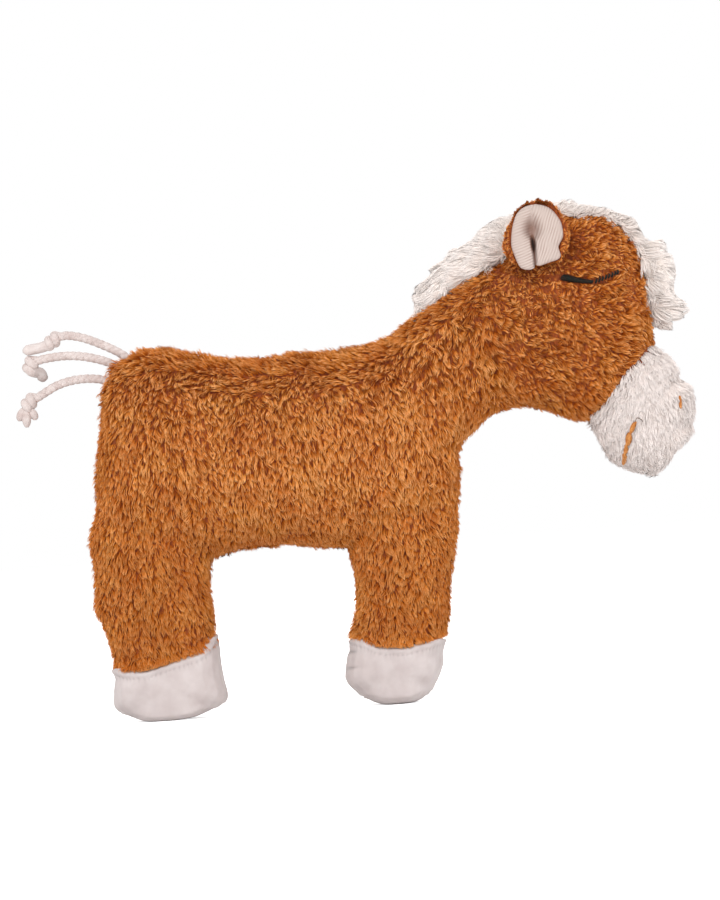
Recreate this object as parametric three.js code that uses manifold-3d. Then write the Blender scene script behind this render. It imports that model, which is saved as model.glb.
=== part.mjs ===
// Fabric horse rattle: a stuffed plush horse with a rattle capsule inside, all lengths in millimetres.
// X runs from tail to nose, Y from the horse's right side to its left side, and Z up from the floor.
// The horse stands on its two hooves, and its origin is on the floor under the middle of its length.

import * as THREE from "three";
import { mergeVertices } from "three/addons/utils/BufferGeometryUtils.js";
import Module from "manifold-3d";

// Driving sizes of the body, measured from the point on the floor midway between the hooves.
const ORIGIN_X = 40.5; // where the frame's origin lies along that axis
const BACK_HEIGHT = 107; // floor to the middle of the back
const BELLY_HEIGHT = 50; // floor to the belly seam
const RUMP_X = -44; // rearmost section of the torso
const CHEST_X = 60; // foremost section of the torso
const TORSO_HALF = 23; // half the torso's width across the horse
const NECK_HALF = 18.5;
const HEAD_HALF = 20;
const MUZZLE_HALF = 15.5;
const LEG_HALF = 14.5;
const HOOF_HALF = 13.5;
const HIND_LEG_X = -31.5; // middle of the hind hoof's top
const FRONT_LEG_X = 38.3; // middle of the front hoof's top
const LEG_TOP = 66; // height inside the torso where the legs end
const HIND_SEAM = 19; // height of the seam between hind leg and hoof
const FRONT_SEAM = 19;
const HEAD_X = 98; // middle of the head
const HEAD_Z = 106;

// Cloth, clearances and the flat soles.
const SEWN_GAP = 0.3; // clearance between two sewn pieces
const PLUSH = 2.2; // thickness of the plush with its pressed pile
const SOLE_CUT = 0.5; // depth to which the soles are pressed flat

// The rattle capsule and its beads.
const CAPSULE_X = 4;
const CAPSULE_Z = 78;
const CAPSULE_RADIUS = 13;
const CAPSULE_WALL = 1.4;
const HOLLOW_CLEARANCE = 0.6; // round the capsule in the filling
const SPIGOT_HEIGHT = 2;
const SPIGOT_CLEARANCE = 0.15;
const BEAD_RADIUS = 2.2;
const BEAD_CLEARANCE = 0.3;
const RING_BEADS = 6; // beads round the middle one

// Ears.
const EAR_HEIGHT = 20.5;
const EAR_HALF_WIDTH = 10.4;
const EAR_X = 87.6; // middle of the ear's base
const EAR_Z = 127.4;
const EAR_CUP = 4.2; // how far the rim stands out from the middle
const EAR_CLOTH = 2.4;
const LINING_CLEARANCE = 0.5; // from the ear's back to its lining
const EAR_LEAN = -13; // degrees from upright, outwards from the head where above 0
const EAR_FOLD_CLEARANCE = 0.7; // from the head's side to the back of the ear
const LOBE = 3; // thickness of each folded lobe of the lining
const LINING_ACROSS = 0.8; // width of the lining over the width of the ear
const LINING_UP = 0.9; // height of the lining over the height of the ear

// Tail cords and stitches.
const CORD_RADIUS = 1.3;
const CORD_CLEARANCE = 0.4; // from the rump to a cord's end, all through its swing
const CORD_SWING = 37; // degrees to each side that a cord's end is cut clear for
const KNOT_RADIUS = 2.9;
const KNOT_LENGTH = 5.6;
const KNOT_FLANK = 0.7; // radius of the knot's flat end over its radius
const KNOT_WAIST = 0.84; // radius between its two wraps over its radius
const STITCH_RADIUS = 0.6;
const STITCH_CLEARANCE = 0.35;

const FAR = 400; // beyond the whole toy, for blocks that trim it

const wasm = await Module();
wasm.setup();

// Materials, one for each cloth.
const cloth = (color, roughness = 0.95) => new THREE.MeshStandardMaterial({ color, roughness, metalness: 0 });
const brownPlush = () => cloth(0xb8702e, 0.98);
const wool = () => cloth(0xeee6d4, 1);
const hoofCotton = () => cloth(0xe4dad5);
const muzzlePlush = () => cloth(0xe9e1dc, 0.98);
const manePlush = () => cloth(0xefe6e1, 0.98);
const earJersey = () => cloth(0xdcc8bf);
const braidedCotton = () => cloth(0xefe5de);
const eyeThread = () => cloth(0x1e2a24, 0.6);
const mouthThread = () => cloth(0xc07a3a, 0.6);
const capsulePlastic = () => cloth(0xf2f2ee, 0.35);
const beadPlastic = () => cloth(0xd9d9d2, 0.3);

// Smooth curves through hand-picked points of the seam plane, and through widths across it.
const smooth = (points) => new THREE.CatmullRomCurve3(points.map(([x, z]) => new THREE.Vector3(x, 0, z)));
const widths = (values) => new THREE.CatmullRomCurve3(values.map((t) => new THREE.Vector3(t, 0, 0)));

// Joins rings of equal length, and a point at each end, into one closed surface.
function closeRings(start, rings, end) {
  const vertices = [start, ...rings.flat(), end];
  const sides = rings[0].length;
  const first = (r) => 1 + r * sides;
  const faces = [];
  for (let k = 0; k < sides; k++) {
    const next = (k + 1) % sides;
    faces.push(0, first(0) + next, first(0) + k);
    for (let r = 0; r + 1 < rings.length; r++) {
      const [a, b, c, d] = [first(r) + k, first(r) + next, first(r + 1) + next, first(r + 1) + k];
      faces.push(a, b, c, a, c, d);
    }
    faces.push(vertices.length - 1, first(rings.length - 1) + k, first(rings.length - 1) + next);
  }
  const geometry = new THREE.BufferGeometry();
  geometry.setAttribute("position", new THREE.Float32BufferAttribute(vertices.flatMap((v) => v.toArray()), 3));
  geometry.setIndex(faces);
  return geometry;
}

// A stuffed form between two rails in the seam plane. halves are its half widths across the horse, caps how far
// each end bulges (0 for a flat end), bluntness 2 for a round end and more for a flatter one, and grow how much
// larger it is made all round, ends included.
function stuffed(form) {
  const { upper, lower, halves, caps, steps = 14, sides = 20, fullness = 2.2, bluntness = 2, grow = 0 } = form;
  const rails = [smooth(upper), smooth(lower), widths(halves)];
  const rings = [];
  const power = (value, p) => Math.sign(value) * Math.abs(value) ** (2 / p);
  const frame = (u) => {
    const [p, q, t] = rails.map((rail) => rail.getPoint(u));
    const across = p.clone().sub(q);
    const half = across.length() / 2 + grow;
    return { centre: p.add(q).multiplyScalar(0.5), across: across.normalize(), half, thick: t.x + grow };
  };
  const ring = ({ centre, across, half, thick }, share, shift) => {
    const along = new THREE.Vector3(across.z, 0, -across.x);
    return Array.from({ length: sides }, (_, k) => {
      const angle = (2 * Math.PI * k) / sides;
      return centre
        .clone()
        .addScaledVector(along, shift)
        .addScaledVector(across, half * share * power(Math.cos(angle), fullness))
        .add(new THREE.Vector3(0, thick * share * power(Math.sin(angle), fullness), 0));
    });
  };
  const capRings = 4;
  const bulge = (u) => caps[u] + grow;
  const isRound = (u) => caps[u] > 0 && bulge(u) > 0;
  const cap = (u, side) =>
    Array.from({ length: isRound(u) ? capRings - 1 : 0 }, (_, j) => {
      const angle = ((j + 1) / capRings) * (Math.PI / 2);
      const shift = side * power(Math.sin(angle), bluntness) * bulge(u);
      return ring(frame(u), power(Math.cos(angle), bluntness), shift);
    });
  const tip = (u, side) => {
    const { centre, across } = frame(u);
    return centre.addScaledVector(new THREE.Vector3(across.z, 0, -across.x), side * bulge(u));
  };
  rings.push(...cap(0, -1).reverse());
  rings.push(ring(frame(0), 1, isRound(0) ? 0 : -bulge(0)));
  for (let i = 1; i < steps; i++) rings.push(ring(frame(i / steps), 1, 0));
  rings.push(ring(frame(1), 1, isRound(1) ? 0 : bulge(1)));
  rings.push(...cap(1, 1));
  return closeRings(tip(0, -1), rings, tip(1, 1));
}

// Booleans on closed geometries.
function solid(geometry) {
  const bare = geometry.index ? geometry.toNonIndexed() : geometry.clone();
  bare.deleteAttribute("normal");
  bare.deleteAttribute("uv");
  const merged = mergeVertices(bare, 1e-3);
  const mesh = new wasm.Mesh({
    numProp: 3,
    vertProperties: merged.attributes.position.array,
    triVerts: new Uint32Array(merged.index.array),
  });
  const made = new wasm.Manifold(mesh);
  if (made.volume() > 0) return made;
  mesh.triVerts.reverse();
  return new wasm.Manifold(mesh);
}

function geometryOf(manifold) {
  const { numProp, numVert, vertProperties, triVerts } = manifold.getMesh();
  const positions = new Float32Array(numVert * 3);
  for (let i = 0; i < numVert; i++) positions.set(vertProperties.subarray(i * numProp, i * numProp + 3), i * 3);
  const geometry = new THREE.BufferGeometry();
  geometry.setAttribute("position", new THREE.BufferAttribute(positions, 3));
  geometry.setIndex(new THREE.BufferAttribute(triVerts, 1));
  return geometry;
}

// The largest body of a cut, so that no sliver stays beside it.
const largest = (manifold) => manifold.decompose().sort((a, b) => b.volume() - a.volume())[0];
const cut = (base, ...tools) => largest(tools.reduce((left, tool) => left.subtract(tool), base));

// A box between two corners, for halving and trimming.
function block([x0, y0, z0], [x1, y1, z1]) {
  const box = new THREE.BoxGeometry(x1 - x0, y1 - y0, z1 - z0);
  return solid(box.translate((x0 + x1) / 2, (y0 + y1) / 2, (z0 + z1) / 2));
}

const toy = new THREE.Group();
toy.position.x = -ORIGIN_X;

function add(name, shape, material, parent = toy) {
  const geometry = shape.getMesh ? geometryOf(shape) : shape;
  geometry.computeVertexNormals();
  const mesh = new THREE.Mesh(geometry, material);
  mesh.name = name;
  parent.add(mesh);
  return mesh;
}

// The rails of each stuffed form, tied to the driving sizes.
const torsoRails = {
  upper: [
    [RUMP_X, BACK_HEIGHT - 8.5],
    [RUMP_X + 1.5, BACK_HEIGHT - 3],
    [RUMP_X + 7, BACK_HEIGHT + 2.5],
    [RUMP_X + 19.5, BACK_HEIGHT + 4.2],
    [RUMP_X + 36.5, BACK_HEIGHT + 0.6],
    [RUMP_X + 52, BACK_HEIGHT - 0.5],
    [CHEST_X - 38, BACK_HEIGHT],
    [CHEST_X - 24, BACK_HEIGHT + 2],
    [CHEST_X - 13, BACK_HEIGHT + 4],
    [CHEST_X - 5, BACK_HEIGHT],
    [CHEST_X, BACK_HEIGHT - 10],
  ],
  lower: [
    [RUMP_X - 5.5, BELLY_HEIGHT],
    [RUMP_X - 2.5, BELLY_HEIGHT - 3],
    [RUMP_X + 5.5, BELLY_HEIGHT - 4],
    [RUMP_X + 20.5, BELLY_HEIGHT - 3.5],
    [RUMP_X + 36.5, BELLY_HEIGHT - 1.2],
    [RUMP_X + 52, BELLY_HEIGHT],
    [CHEST_X - 38, BELLY_HEIGHT - 1],
    [CHEST_X - 24, BELLY_HEIGHT - 3],
    [CHEST_X - 12, BELLY_HEIGHT - 2],
    [CHEST_X - 4, BELLY_HEIGHT + 2],
    [CHEST_X - 0.5, BELLY_HEIGHT + 10],
  ],
  halves: [0.3, 0.54, 0.76, 0.91, 0.99, 1, 0.98, 0.93, 0.85, 0.66, 0.4].map((share) => share * TORSO_HALF),
  caps: [1.8, 1.4],
  steps: 16,
  sides: 20,
};

const neckRails = {
  upper: [
    [CHEST_X - 26, BACK_HEIGHT - 3],
    [CHEST_X - 14, BACK_HEIGHT + 6],
    [HEAD_X - 42, HEAD_Z + 14],
    [HEAD_X - 32, HEAD_Z + 19.5],
    [HEAD_X - 21, HEAD_Z + 24.5],
  ],
  lower: [
    [CHEST_X - 8, BELLY_HEIGHT + 8],
    [CHEST_X + 1, BELLY_HEIGHT + 22],
    [HEAD_X - 30.5, HEAD_Z - 23],
    [HEAD_X - 23, HEAD_Z - 19],
    [HEAD_X - 13, HEAD_Z - 19],
  ],
  halves: [0.92, 1, 0.95, 0.92, 0.92].map((share) => share * NECK_HALF),
  caps: [0, 0],
  steps: 8,
};

const headRails = {
  upper: [
    [HEAD_X + 2, HEAD_Z + 37],
    [HEAD_X + 13, HEAD_Z + 35],
    [HEAD_X + 20.5, HEAD_Z + 27],
    [HEAD_X + 22.7, HEAD_Z + 16],
    [HEAD_X + 23.5, HEAD_Z + 6],
    [HEAD_X + 23.7, HEAD_Z - 3.7],
  ],
  lower: [
    [HEAD_X - 20, HEAD_Z + 24],
    [HEAD_X - 26, HEAD_Z + 12],
    [HEAD_X - 28, HEAD_Z - 4],
    [HEAD_X - 22, HEAD_Z - 16],
    [HEAD_X - 10, HEAD_Z - 20.5],
    [HEAD_X + 3.5, HEAD_Z - 25.4],
  ],
  halves: [0.62, 0.88, 0.98, 1, 0.93, 0.76].map((share) => share * HEAD_HALF),
  caps: [3, 3.5],
  steps: 12,
  sides: 20,
};

const muzzleRails = {
  upper: [
    [HEAD_X + 20, HEAD_Z + 2],
    [HEAD_X + 24.5, HEAD_Z - 5],
    [HEAD_X + 29, HEAD_Z - 10.5],
    [HEAD_X + 33.5, HEAD_Z - 19.5],
    [HEAD_X + 33.8, HEAD_Z - 28],
  ],
  lower: [
    [HEAD_X + 1, HEAD_Z - 18],
    [HEAD_X + 3.5, HEAD_Z - 27],
    [HEAD_X + 6, HEAD_Z - 34.5],
    [HEAD_X + 11, HEAD_Z - 39.5],
    [HEAD_X + 18, HEAD_Z - 43],
  ],
  halves: [0.85, 1, 1, 0.93, 0.75].map((share) => share * MUZZLE_HALF),
  caps: [0, 4.5],
  steps: 9,
  bluntness: 2.4,
};

const hindLegRails = {
  upper: [
    [HIND_LEG_X - 15.3, HIND_SEAM - 3],
    [HIND_LEG_X - 17.5, HIND_SEAM + 8],
    [HIND_LEG_X - 20, HIND_SEAM + 20],
    [HIND_LEG_X - 20, BELLY_HEIGHT + 3],
    [HIND_LEG_X - 18, LEG_TOP],
  ],
  lower: [
    [HIND_LEG_X + 15.2, HIND_SEAM + 3.6],
    [HIND_LEG_X + 15.3, HIND_SEAM + 12],
    [HIND_LEG_X + 15.3, HIND_SEAM + 22],
    [HIND_LEG_X + 17.5, BELLY_HEIGHT + 3],
    [HIND_LEG_X + 19.5, LEG_TOP],
  ],
  halves: [0.88, 0.95, 1, 1.03, 1].map((share) => share * LEG_HALF),
  caps: [0, 0],
  steps: 7,
};

const frontLegRails = {
  upper: [
    [FRONT_LEG_X - 14.2, FRONT_SEAM + 1],
    [FRONT_LEG_X - 11.8, FRONT_SEAM + 11],
    [FRONT_LEG_X - 11.7, FRONT_SEAM + 20],
    [FRONT_LEG_X - 12.5, BELLY_HEIGHT + 2],
    [FRONT_LEG_X - 10.5, LEG_TOP],
  ],
  lower: [
    [FRONT_LEG_X + 14.1, FRONT_SEAM - 1],
    [FRONT_LEG_X + 17, FRONT_SEAM + 10],
    [FRONT_LEG_X + 18.8, FRONT_SEAM + 21],
    [FRONT_LEG_X + 20.4, BELLY_HEIGHT + 4],
    [FRONT_LEG_X + 21, LEG_TOP],
  ],
  halves: [0.86, 0.92, 0.98, 1.02, 1].map((share) => share * LEG_HALF),
  caps: [0, 0],
  steps: 7,
};

const hindHoofRails = {
  upper: [
    [HIND_LEG_X - 16.4, HIND_SEAM - 14.5],
    [HIND_LEG_X - 16.2, HIND_SEAM - 9],
    [HIND_LEG_X - 15.6, HIND_SEAM - 3],
  ],
  lower: [
    [HIND_LEG_X + 17.4, HIND_SEAM - 14.5],
    [HIND_LEG_X + 17, HIND_SEAM - 5],
    [HIND_LEG_X + 15.2, HIND_SEAM + 3.6],
  ],
  halves: [0.93, 1, 0.95].map((share) => share * HOOF_HALF),
  caps: [HIND_SEAM - 14.5 + SOLE_CUT, 0],
  steps: 4,
  sides: 20,
  fullness: 2.5,
  bluntness: 4,
};

const frontHoofRails = {
  upper: [
    [FRONT_LEG_X - 15, FRONT_SEAM - 13.5],
    [FRONT_LEG_X - 16.2, FRONT_SEAM - 7],
    [FRONT_LEG_X - 14.5, FRONT_SEAM + 1],
  ],
  lower: [
    [FRONT_LEG_X + 12, FRONT_SEAM - 13.5],
    [FRONT_LEG_X + 13.6, FRONT_SEAM - 8],
    [FRONT_LEG_X + 14.1, FRONT_SEAM - 1],
  ],
  halves: [0.93, 1, 0.95].map((share) => share * HOOF_HALF),
  caps: [FRONT_SEAM - 13.5 + SOLE_CUT, 0],
  steps: 4,
  sides: 20,
  fullness: 2.5,
  bluntness: 3.4,
};

const maneRails = {
  upper: [
    [HEAD_X - 48.5, HEAD_Z + 13.5],
    [HEAD_X - 42.5, HEAD_Z + 22],
    [HEAD_X - 35.5, HEAD_Z + 27.5],
    [HEAD_X - 27.5, HEAD_Z + 32],
    [HEAD_X - 20, HEAD_Z + 37.4],
    [HEAD_X - 10, HEAD_Z + 40.3],
    [HEAD_X - 1, HEAD_Z + 41.6],
    [HEAD_X + 6.5, HEAD_Z + 39.8],
  ],
  lower: [
    [HEAD_X - 44, HEAD_Z + 10],
    [HEAD_X - 38, HEAD_Z + 14],
    [HEAD_X - 32, HEAD_Z + 18],
    [HEAD_X - 24, HEAD_Z + 22],
    [HEAD_X - 15, HEAD_Z + 26],
    [HEAD_X - 7, HEAD_Z + 30],
    [HEAD_X, HEAD_Z + 32],
    [HEAD_X + 5, HEAD_Z + 33],
  ],
  halves: [4, 6.3, 7, 7, 7, 7, 6.5, 5.5],
  caps: [2, 1.5],
  steps: 12,
  sides: 10,
};

const forelockRails = {
  upper: [
    [HEAD_X + 8, HEAD_Z + 39.4],
    [HEAD_X + 15.5, HEAD_Z + 37],
    [HEAD_X + 22, HEAD_Z + 33],
    [HEAD_X + 28, HEAD_Z + 27],
    [HEAD_X + 31.7, HEAD_Z + 19],
    [HEAD_X + 31.8, HEAD_Z + 9.5],
    [HEAD_X + 32.5, HEAD_Z + 2.5],
  ],
  lower: [
    [HEAD_X + 7, HEAD_Z + 32],
    [HEAD_X + 11, HEAD_Z + 30],
    [HEAD_X + 15, HEAD_Z + 26],
    [HEAD_X + 18.5, HEAD_Z + 21],
    [HEAD_X + 20, HEAD_Z + 14],
    [HEAD_X + 22, HEAD_Z + 6],
    [HEAD_X + 25.5, HEAD_Z + 0.5],
  ],
  halves: [5.5, 6, 6.5, 7, 7, 5.5, 3],
  caps: [1, 1.5],
  steps: 10,
  sides: 10,
};

const grown = (rails) => solid(stuffed({ ...rails, grow: SEWN_GAP }));
const torsoRoom = grown(torsoRails);
const neckRoom = grown(neckRails);
const headRoom = grown(headRails);

// Torso: two plush panels that meet at the centre seam, over two halves of filling that hold the rattle.
function makeTorso() {
  const skin = solid(stuffed(torsoRails));
  const inside = solid(stuffed({ ...torsoRails, grow: -PLUSH }));
  const [around, down] = [20, 12];
  const capsule = new THREE.SphereGeometry(CAPSULE_RADIUS + HOLLOW_CLEARANCE, around, down);
  const hollow = solid(capsule.rotateX(Math.PI / 2).translate(CAPSULE_X, 0, CAPSULE_Z));
  const filling = solid(stuffed({ ...torsoRails, grow: -PLUSH - SEWN_GAP }));
  for (const [side, sign] of [["right", 1], ["left", -1]]) {
    const seam = (-sign * SEWN_GAP) / 2;
    const other = block([-FAR, Math.min(seam, sign * FAR), -FAR], [FAR, Math.max(seam, sign * FAR), FAR]);
    add("torso_panel_" + side, cut(skin, inside, other), brownPlush());
    add("torso_filling_" + side, cut(filling, hollow, other), wool());
  }
}

// Rattle: a cup and a lid of hard plastic that meet at a spigot, with loose beads in the cup.
function makeRattle() {
  const rattle = new THREE.Group();
  rattle.position.set(CAPSULE_X, 0, CAPSULE_Z);
  rattle.rotation.x = Math.PI / 2;
  toy.add(rattle);
  const inner = CAPSULE_RADIUS - CAPSULE_WALL;
  const spigot = inner + CAPSULE_WALL / 2 - SPIGOT_CLEARANCE;
  const segments = 24;
  const [beadAround, beadDown] = [10, 7];
  const arc = (radius, from, to, points = 7) =>
    Array.from({ length: points }, (_, i) => {
      const angle = from + ((to - from) * i) / (points - 1);
      return new THREE.Vector2(Math.abs(radius * Math.cos(angle)) < 1e-6 ? 0 : radius * Math.cos(angle),
        radius * Math.sin(angle));
    });
  const quarter = Math.PI / 2;
  const cup = [
    ...arc(CAPSULE_RADIUS, -quarter, 0),
    new THREE.Vector2(spigot, 0),
    new THREE.Vector2(spigot, SPIGOT_HEIGHT),
    new THREE.Vector2(inner, SPIGOT_HEIGHT),
    ...arc(inner, 0, -quarter),
  ];
  const step = spigot + 2 * SPIGOT_CLEARANCE;
  const lidBase = SEWN_GAP;
  const lid = [
    ...arc(inner, quarter, Math.asin((SPIGOT_HEIGHT + SEWN_GAP) / inner)),
    new THREE.Vector2(step, SPIGOT_HEIGHT + SEWN_GAP),
    new THREE.Vector2(step, lidBase),
    ...arc(CAPSULE_RADIUS, Math.asin(lidBase / CAPSULE_RADIUS), quarter),
  ];
  add("rattle_cup", new THREE.LatheGeometry(cup, segments), capsulePlastic(), rattle);
  add("rattle_lid", new THREE.LatheGeometry(lid, segments), capsulePlastic(), rattle);
  const reach = inner - BEAD_RADIUS - BEAD_CLEARANCE;
  const ringRadius = 2 * BEAD_RADIUS + BEAD_CLEARANCE;
  for (let i = 0; i <= RING_BEADS; i++) {
    const angle = (i * 2 * Math.PI) / RING_BEADS;
    const out = i === 0 ? 0 : ringRadius;
    const ball = new THREE.SphereGeometry(BEAD_RADIUS, beadAround, beadDown);
    const bead = add("rattle_bead_" + (i + 1), ball, beadPlastic(), rattle);
    bead.position.set(out * Math.cos(angle), -Math.sqrt(reach ** 2 - out ** 2), out * Math.sin(angle));
  }
}

// Legs and hooves: each is cut back by the larger piece it is sewn to, and the hooves are flat on the floor.
function makeLimbs() {
  const floor = block([-FAR, -FAR, -FAR], [FAR, FAR, 0]);
  const hind = ["hind", hindLegRails, hindHoofRails];
  const front = ["front", frontLegRails, frontHoofRails];
  for (const [name, leg, hoof] of [hind, front]) {
    const legRoom = grown(leg);
    add(name + "_leg", cut(solid(stuffed(leg)), torsoRoom), brownPlush());
    add(name + "_hoof", cut(solid(stuffed(hoof)), legRoom, floor), hoofCotton());
  }
}

// Neck, head, muzzle and hair, cut back in the same way.
function makeHead() {
  add("neck", cut(solid(stuffed(neckRails)), torsoRoom, headRoom), brownPlush());
  const head = add("head", solid(stuffed(headRails)), brownPlush());
  const muzzle = add("muzzle", cut(solid(stuffed(muzzleRails)), headRoom), muzzlePlush());
  const maneRoom = grown(maneRails);
  add("mane_crest", cut(solid(stuffed(maneRails)), torsoRoom, neckRoom, headRoom), manePlush());
  add("forelock", cut(solid(stuffed(forelockRails)), headRoom, maneRoom), manePlush());
  return { head, muzzle };
}

// The point on a piece's outside, on the horse's right, at a place in the seam plane, and the way it faces.
function outside(mesh, x, z) {
  const ray = new THREE.Raycaster(new THREE.Vector3(x, -FAR, z), new THREE.Vector3(0, 1, 0));
  const still = new THREE.Mesh(mesh.geometry, new THREE.MeshBasicMaterial({ side: THREE.DoubleSide }));
  const hit = ray.intersectObject(still)[0];
  if (!hit) throw new Error("nothing of " + mesh.name + " lies at " + x + ", " + z);
  const { point } = hit;
  const normal = hit.face.normal.clone();
  return { point, normal: normal.y > 0 ? normal.negate() : normal };
}

// A pad over a leaf outline. front and back give its depth at u from -1 to 1 across and v from 0 to 1 up.
function leaf(halfWidth, height, front, back) {
  const across = 6;
  const up = 6;
  const columns = across + 1;
  const vertices = [];
  const at = (depth, i, j) => {
    const u = (2 * i) / across - 1;
    const v = j / up;
    return [u * halfWidth(v), -depth(u, v), v * height];
  };
  for (const depth of [front, back])
    for (let j = 0; j <= up; j++) for (let i = 0; i <= across; i++) vertices.push(...at(depth, i, j));
  const half = columns * (up + 1);
  const faces = [];
  const quad = (a, b, c, d) => faces.push(a, b, c, a, c, d);
  for (let j = 0; j < up; j++)
    for (let i = 0; i < across; i++) {
      const a = j * columns + i;
      quad(a, a + 1, a + 1 + columns, a + columns);
      quad(half + a, half + a + columns, half + a + 1 + columns, half + a + 1);
    }
  for (let i = 0; i < across; i++) {
    const top = up * columns + i;
    quad(half + i, half + i + 1, i + 1, i);
    quad(top, top + 1, half + top + 1, half + top);
  }
  for (let j = 0; j < up; j++) {
    const left = j * columns;
    const right = left + across;
    quad(half + left, left, left + columns, half + left + columns);
    quad(right, half + right, half + right + columns, right + columns);
  }
  const geometry = new THREE.BufferGeometry();
  geometry.setAttribute("position", new THREE.Float32BufferAttribute(vertices, 3));
  geometry.setIndex(faces);
  return geometry;
}

// Ears: a plush back bent into a cup, and a jersey lining folded into two lobes that meet at a slit.
function makeEars(head) {
  const taper = (v) => Math.sqrt(Math.max(0.05, 1 - Math.max(0, (v - 0.55) / 0.45) ** 2.4));
  const swell = (v) => 0.66 + 0.34 * Math.sin(Math.PI * Math.min(1, v * 1.25) ** 0.9);
  const width = (v) => EAR_HALF_WIDTH * swell(v) * taper(v);
  const cup = (u) => EAR_CUP * Math.abs(u) ** 2.2;
  const backFront = (u, v) => cup(u) + EAR_CLOTH * (1 - 0.35 * u ** 4) * (1 - 0.3 * v ** 4);
  const behind = () => -1;
  const roomFront = (u, v) => backFront(u, v) + LINING_CLEARANCE;
  const liningWidth = (v) => width(v * LINING_UP) * LINING_ACROSS;
  const lobe = (u, v) => 0.7 + LOBE * Math.sin(Math.PI * Math.abs(u) ** 0.8) ** 0.7 * (1 - 0.5 * v ** 3);
  const liningFront = (u, v) => roomFront(u * LINING_ACROSS, v * LINING_UP) + lobe(u, v);
  const seat = EAR_FOLD_CLEARANCE - outside(head, EAR_X, EAR_Z).point.y;
  for (const [side, sign] of [["right", 1], ["left", -1]]) {
    const ear = new THREE.Group();
    ear.position.set(EAR_X, -sign * seat, EAR_Z);
    ear.scale.y = sign;
    const tilt = new THREE.Group();
    tilt.rotation.x = THREE.MathUtils.degToRad(EAR_LEAN);
    ear.add(tilt);
    toy.add(ear);
    add("ear_back_" + side, leaf(width, EAR_HEIGHT, backFront, cup), brownPlush(), tilt);
    const room = solid(leaf(width, EAR_HEIGHT, roomFront, behind));
    const lining = solid(leaf(liningWidth, EAR_HEIGHT * LINING_UP, liningFront, behind));
    add("ear_lining_" + side, cut(lining, room), earJersey(), tilt);
  }
}

// A round section with a few flat sides, for cord and thread.
function roundSection(radius, corners) {
  const shape = new THREE.Shape();
  for (let k = 0; k < corners; k++) {
    const angle = (2 * Math.PI * k) / corners;
    const point = [radius * Math.cos(angle), radius * Math.sin(angle)];
    if (k === 0) shape.moveTo(...point);
    else shape.lineTo(...point);
  }
  shape.closePath();
  return shape;
}

const tube = (path, radius, corners, steps) =>
  new THREE.ExtrudeGeometry(roundSection(radius, corners), { extrudePath: path, steps, bevelEnabled: false });

// Stitches: short runs of thread laid on the side of the piece that they are sewn through.
function makeStitch(name, base, places, material) {
  const drawn = smooth(places);
  const count = 4 * (places.length - 1);
  const laid = drawn.getPoints(count).map(({ x, z }) => {
    const { point, normal } = outside(base, x, z);
    return point.addScaledVector(normal, STITCH_RADIUS + STITCH_CLEARANCE);
  });
  for (const [side, sign] of [["right", 1], ["left", -1]]) {
    const path = new THREE.CatmullRomCurve3(laid.map(({ x, y, z }) => new THREE.Vector3(x, sign * y, z)));
    add(name + "_" + side, tube(path, STITCH_RADIUS, 6, count), material());
  }
}

function makeStitches({ head, muzzle }) {
  const eye = [[-3.2, 18], [0.2, 16.4], [6.3, 15.5], [9.4, 16.7], [14, 17.9]];
  const mouth = [[16.6, -26], [14.4, -32.4], [12, -38]];
  const nostril = [[29.6, -20.4], [29.2, -23.7]];
  const onHead = (points) => points.map(([x, z]) => [HEAD_X + x, HEAD_Z + z]);
  makeStitch("eye_stitch", head, onHead(eye), eyeThread);
  makeStitch("mouth_stitch", muzzle, onHead(mouth), mouthThread);
  makeStitch("nostril_stitch", muzzle, onHead(nostril), mouthThread);
}

// Tail: three cords out of the rump's seam. Each route is hand-picked, and ends where its knot begins.
const cordRoutes = {
  upper: [[-36, 106.5], [-40.4, 111.4], [-44.7, 114], [-51, 117.4], [-56.1, 118.1], [-58.4, 117.2]],
  middle: [[-38, 102.5], [-43, 106.6], [-48.3, 110], [-55.7, 111.3], [-61.7, 110.7], [-63.6, 109.6]],
  lower: [[-40, 100.5], [-47.4, 103.2], [-54.8, 103.3], [-60.6, 101.6], [-64.4, 98.6], [-66, 97.6]],
};
const stubs = { upper: [-67.6, 113.9], middle: [-62.4, 104.4], lower: [-67.6, 91.4] };
const cordExits = { upper: -37.3, middle: -41.1, lower: -43.1 }; // X where each leaves the rump and swings

// The rump, turned about the upright axis of a cord's swing.
function rumpTurned(exit, degrees) {
  const rump = stuffed({ ...torsoRails, grow: CORD_CLEARANCE }).translate(-exit, 0, 0);
  return solid(rump.rotateZ(THREE.MathUtils.degToRad(degrees)).translate(exit, 0, 0));
}

function makeTail() {
  const [corners, steps] = [8, 6];
  for (const [name, route] of Object.entries(cordRoutes)) {
    const path = smooth(route);
    const cord = solid(tube(path, CORD_RADIUS, corners, steps));
    const turns = [-1, -0.5, 0, 0.5, 1].map((share) => rumpTurned(cordExits[name], share * CORD_SWING));
    add("tail_cord_" + name, cut(cord, ...turns), braidedCotton());
    makeKnot("tail_knot_" + name, path.getPoint(1), path.getTangent(1), stubs[name]);
  }
}

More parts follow.
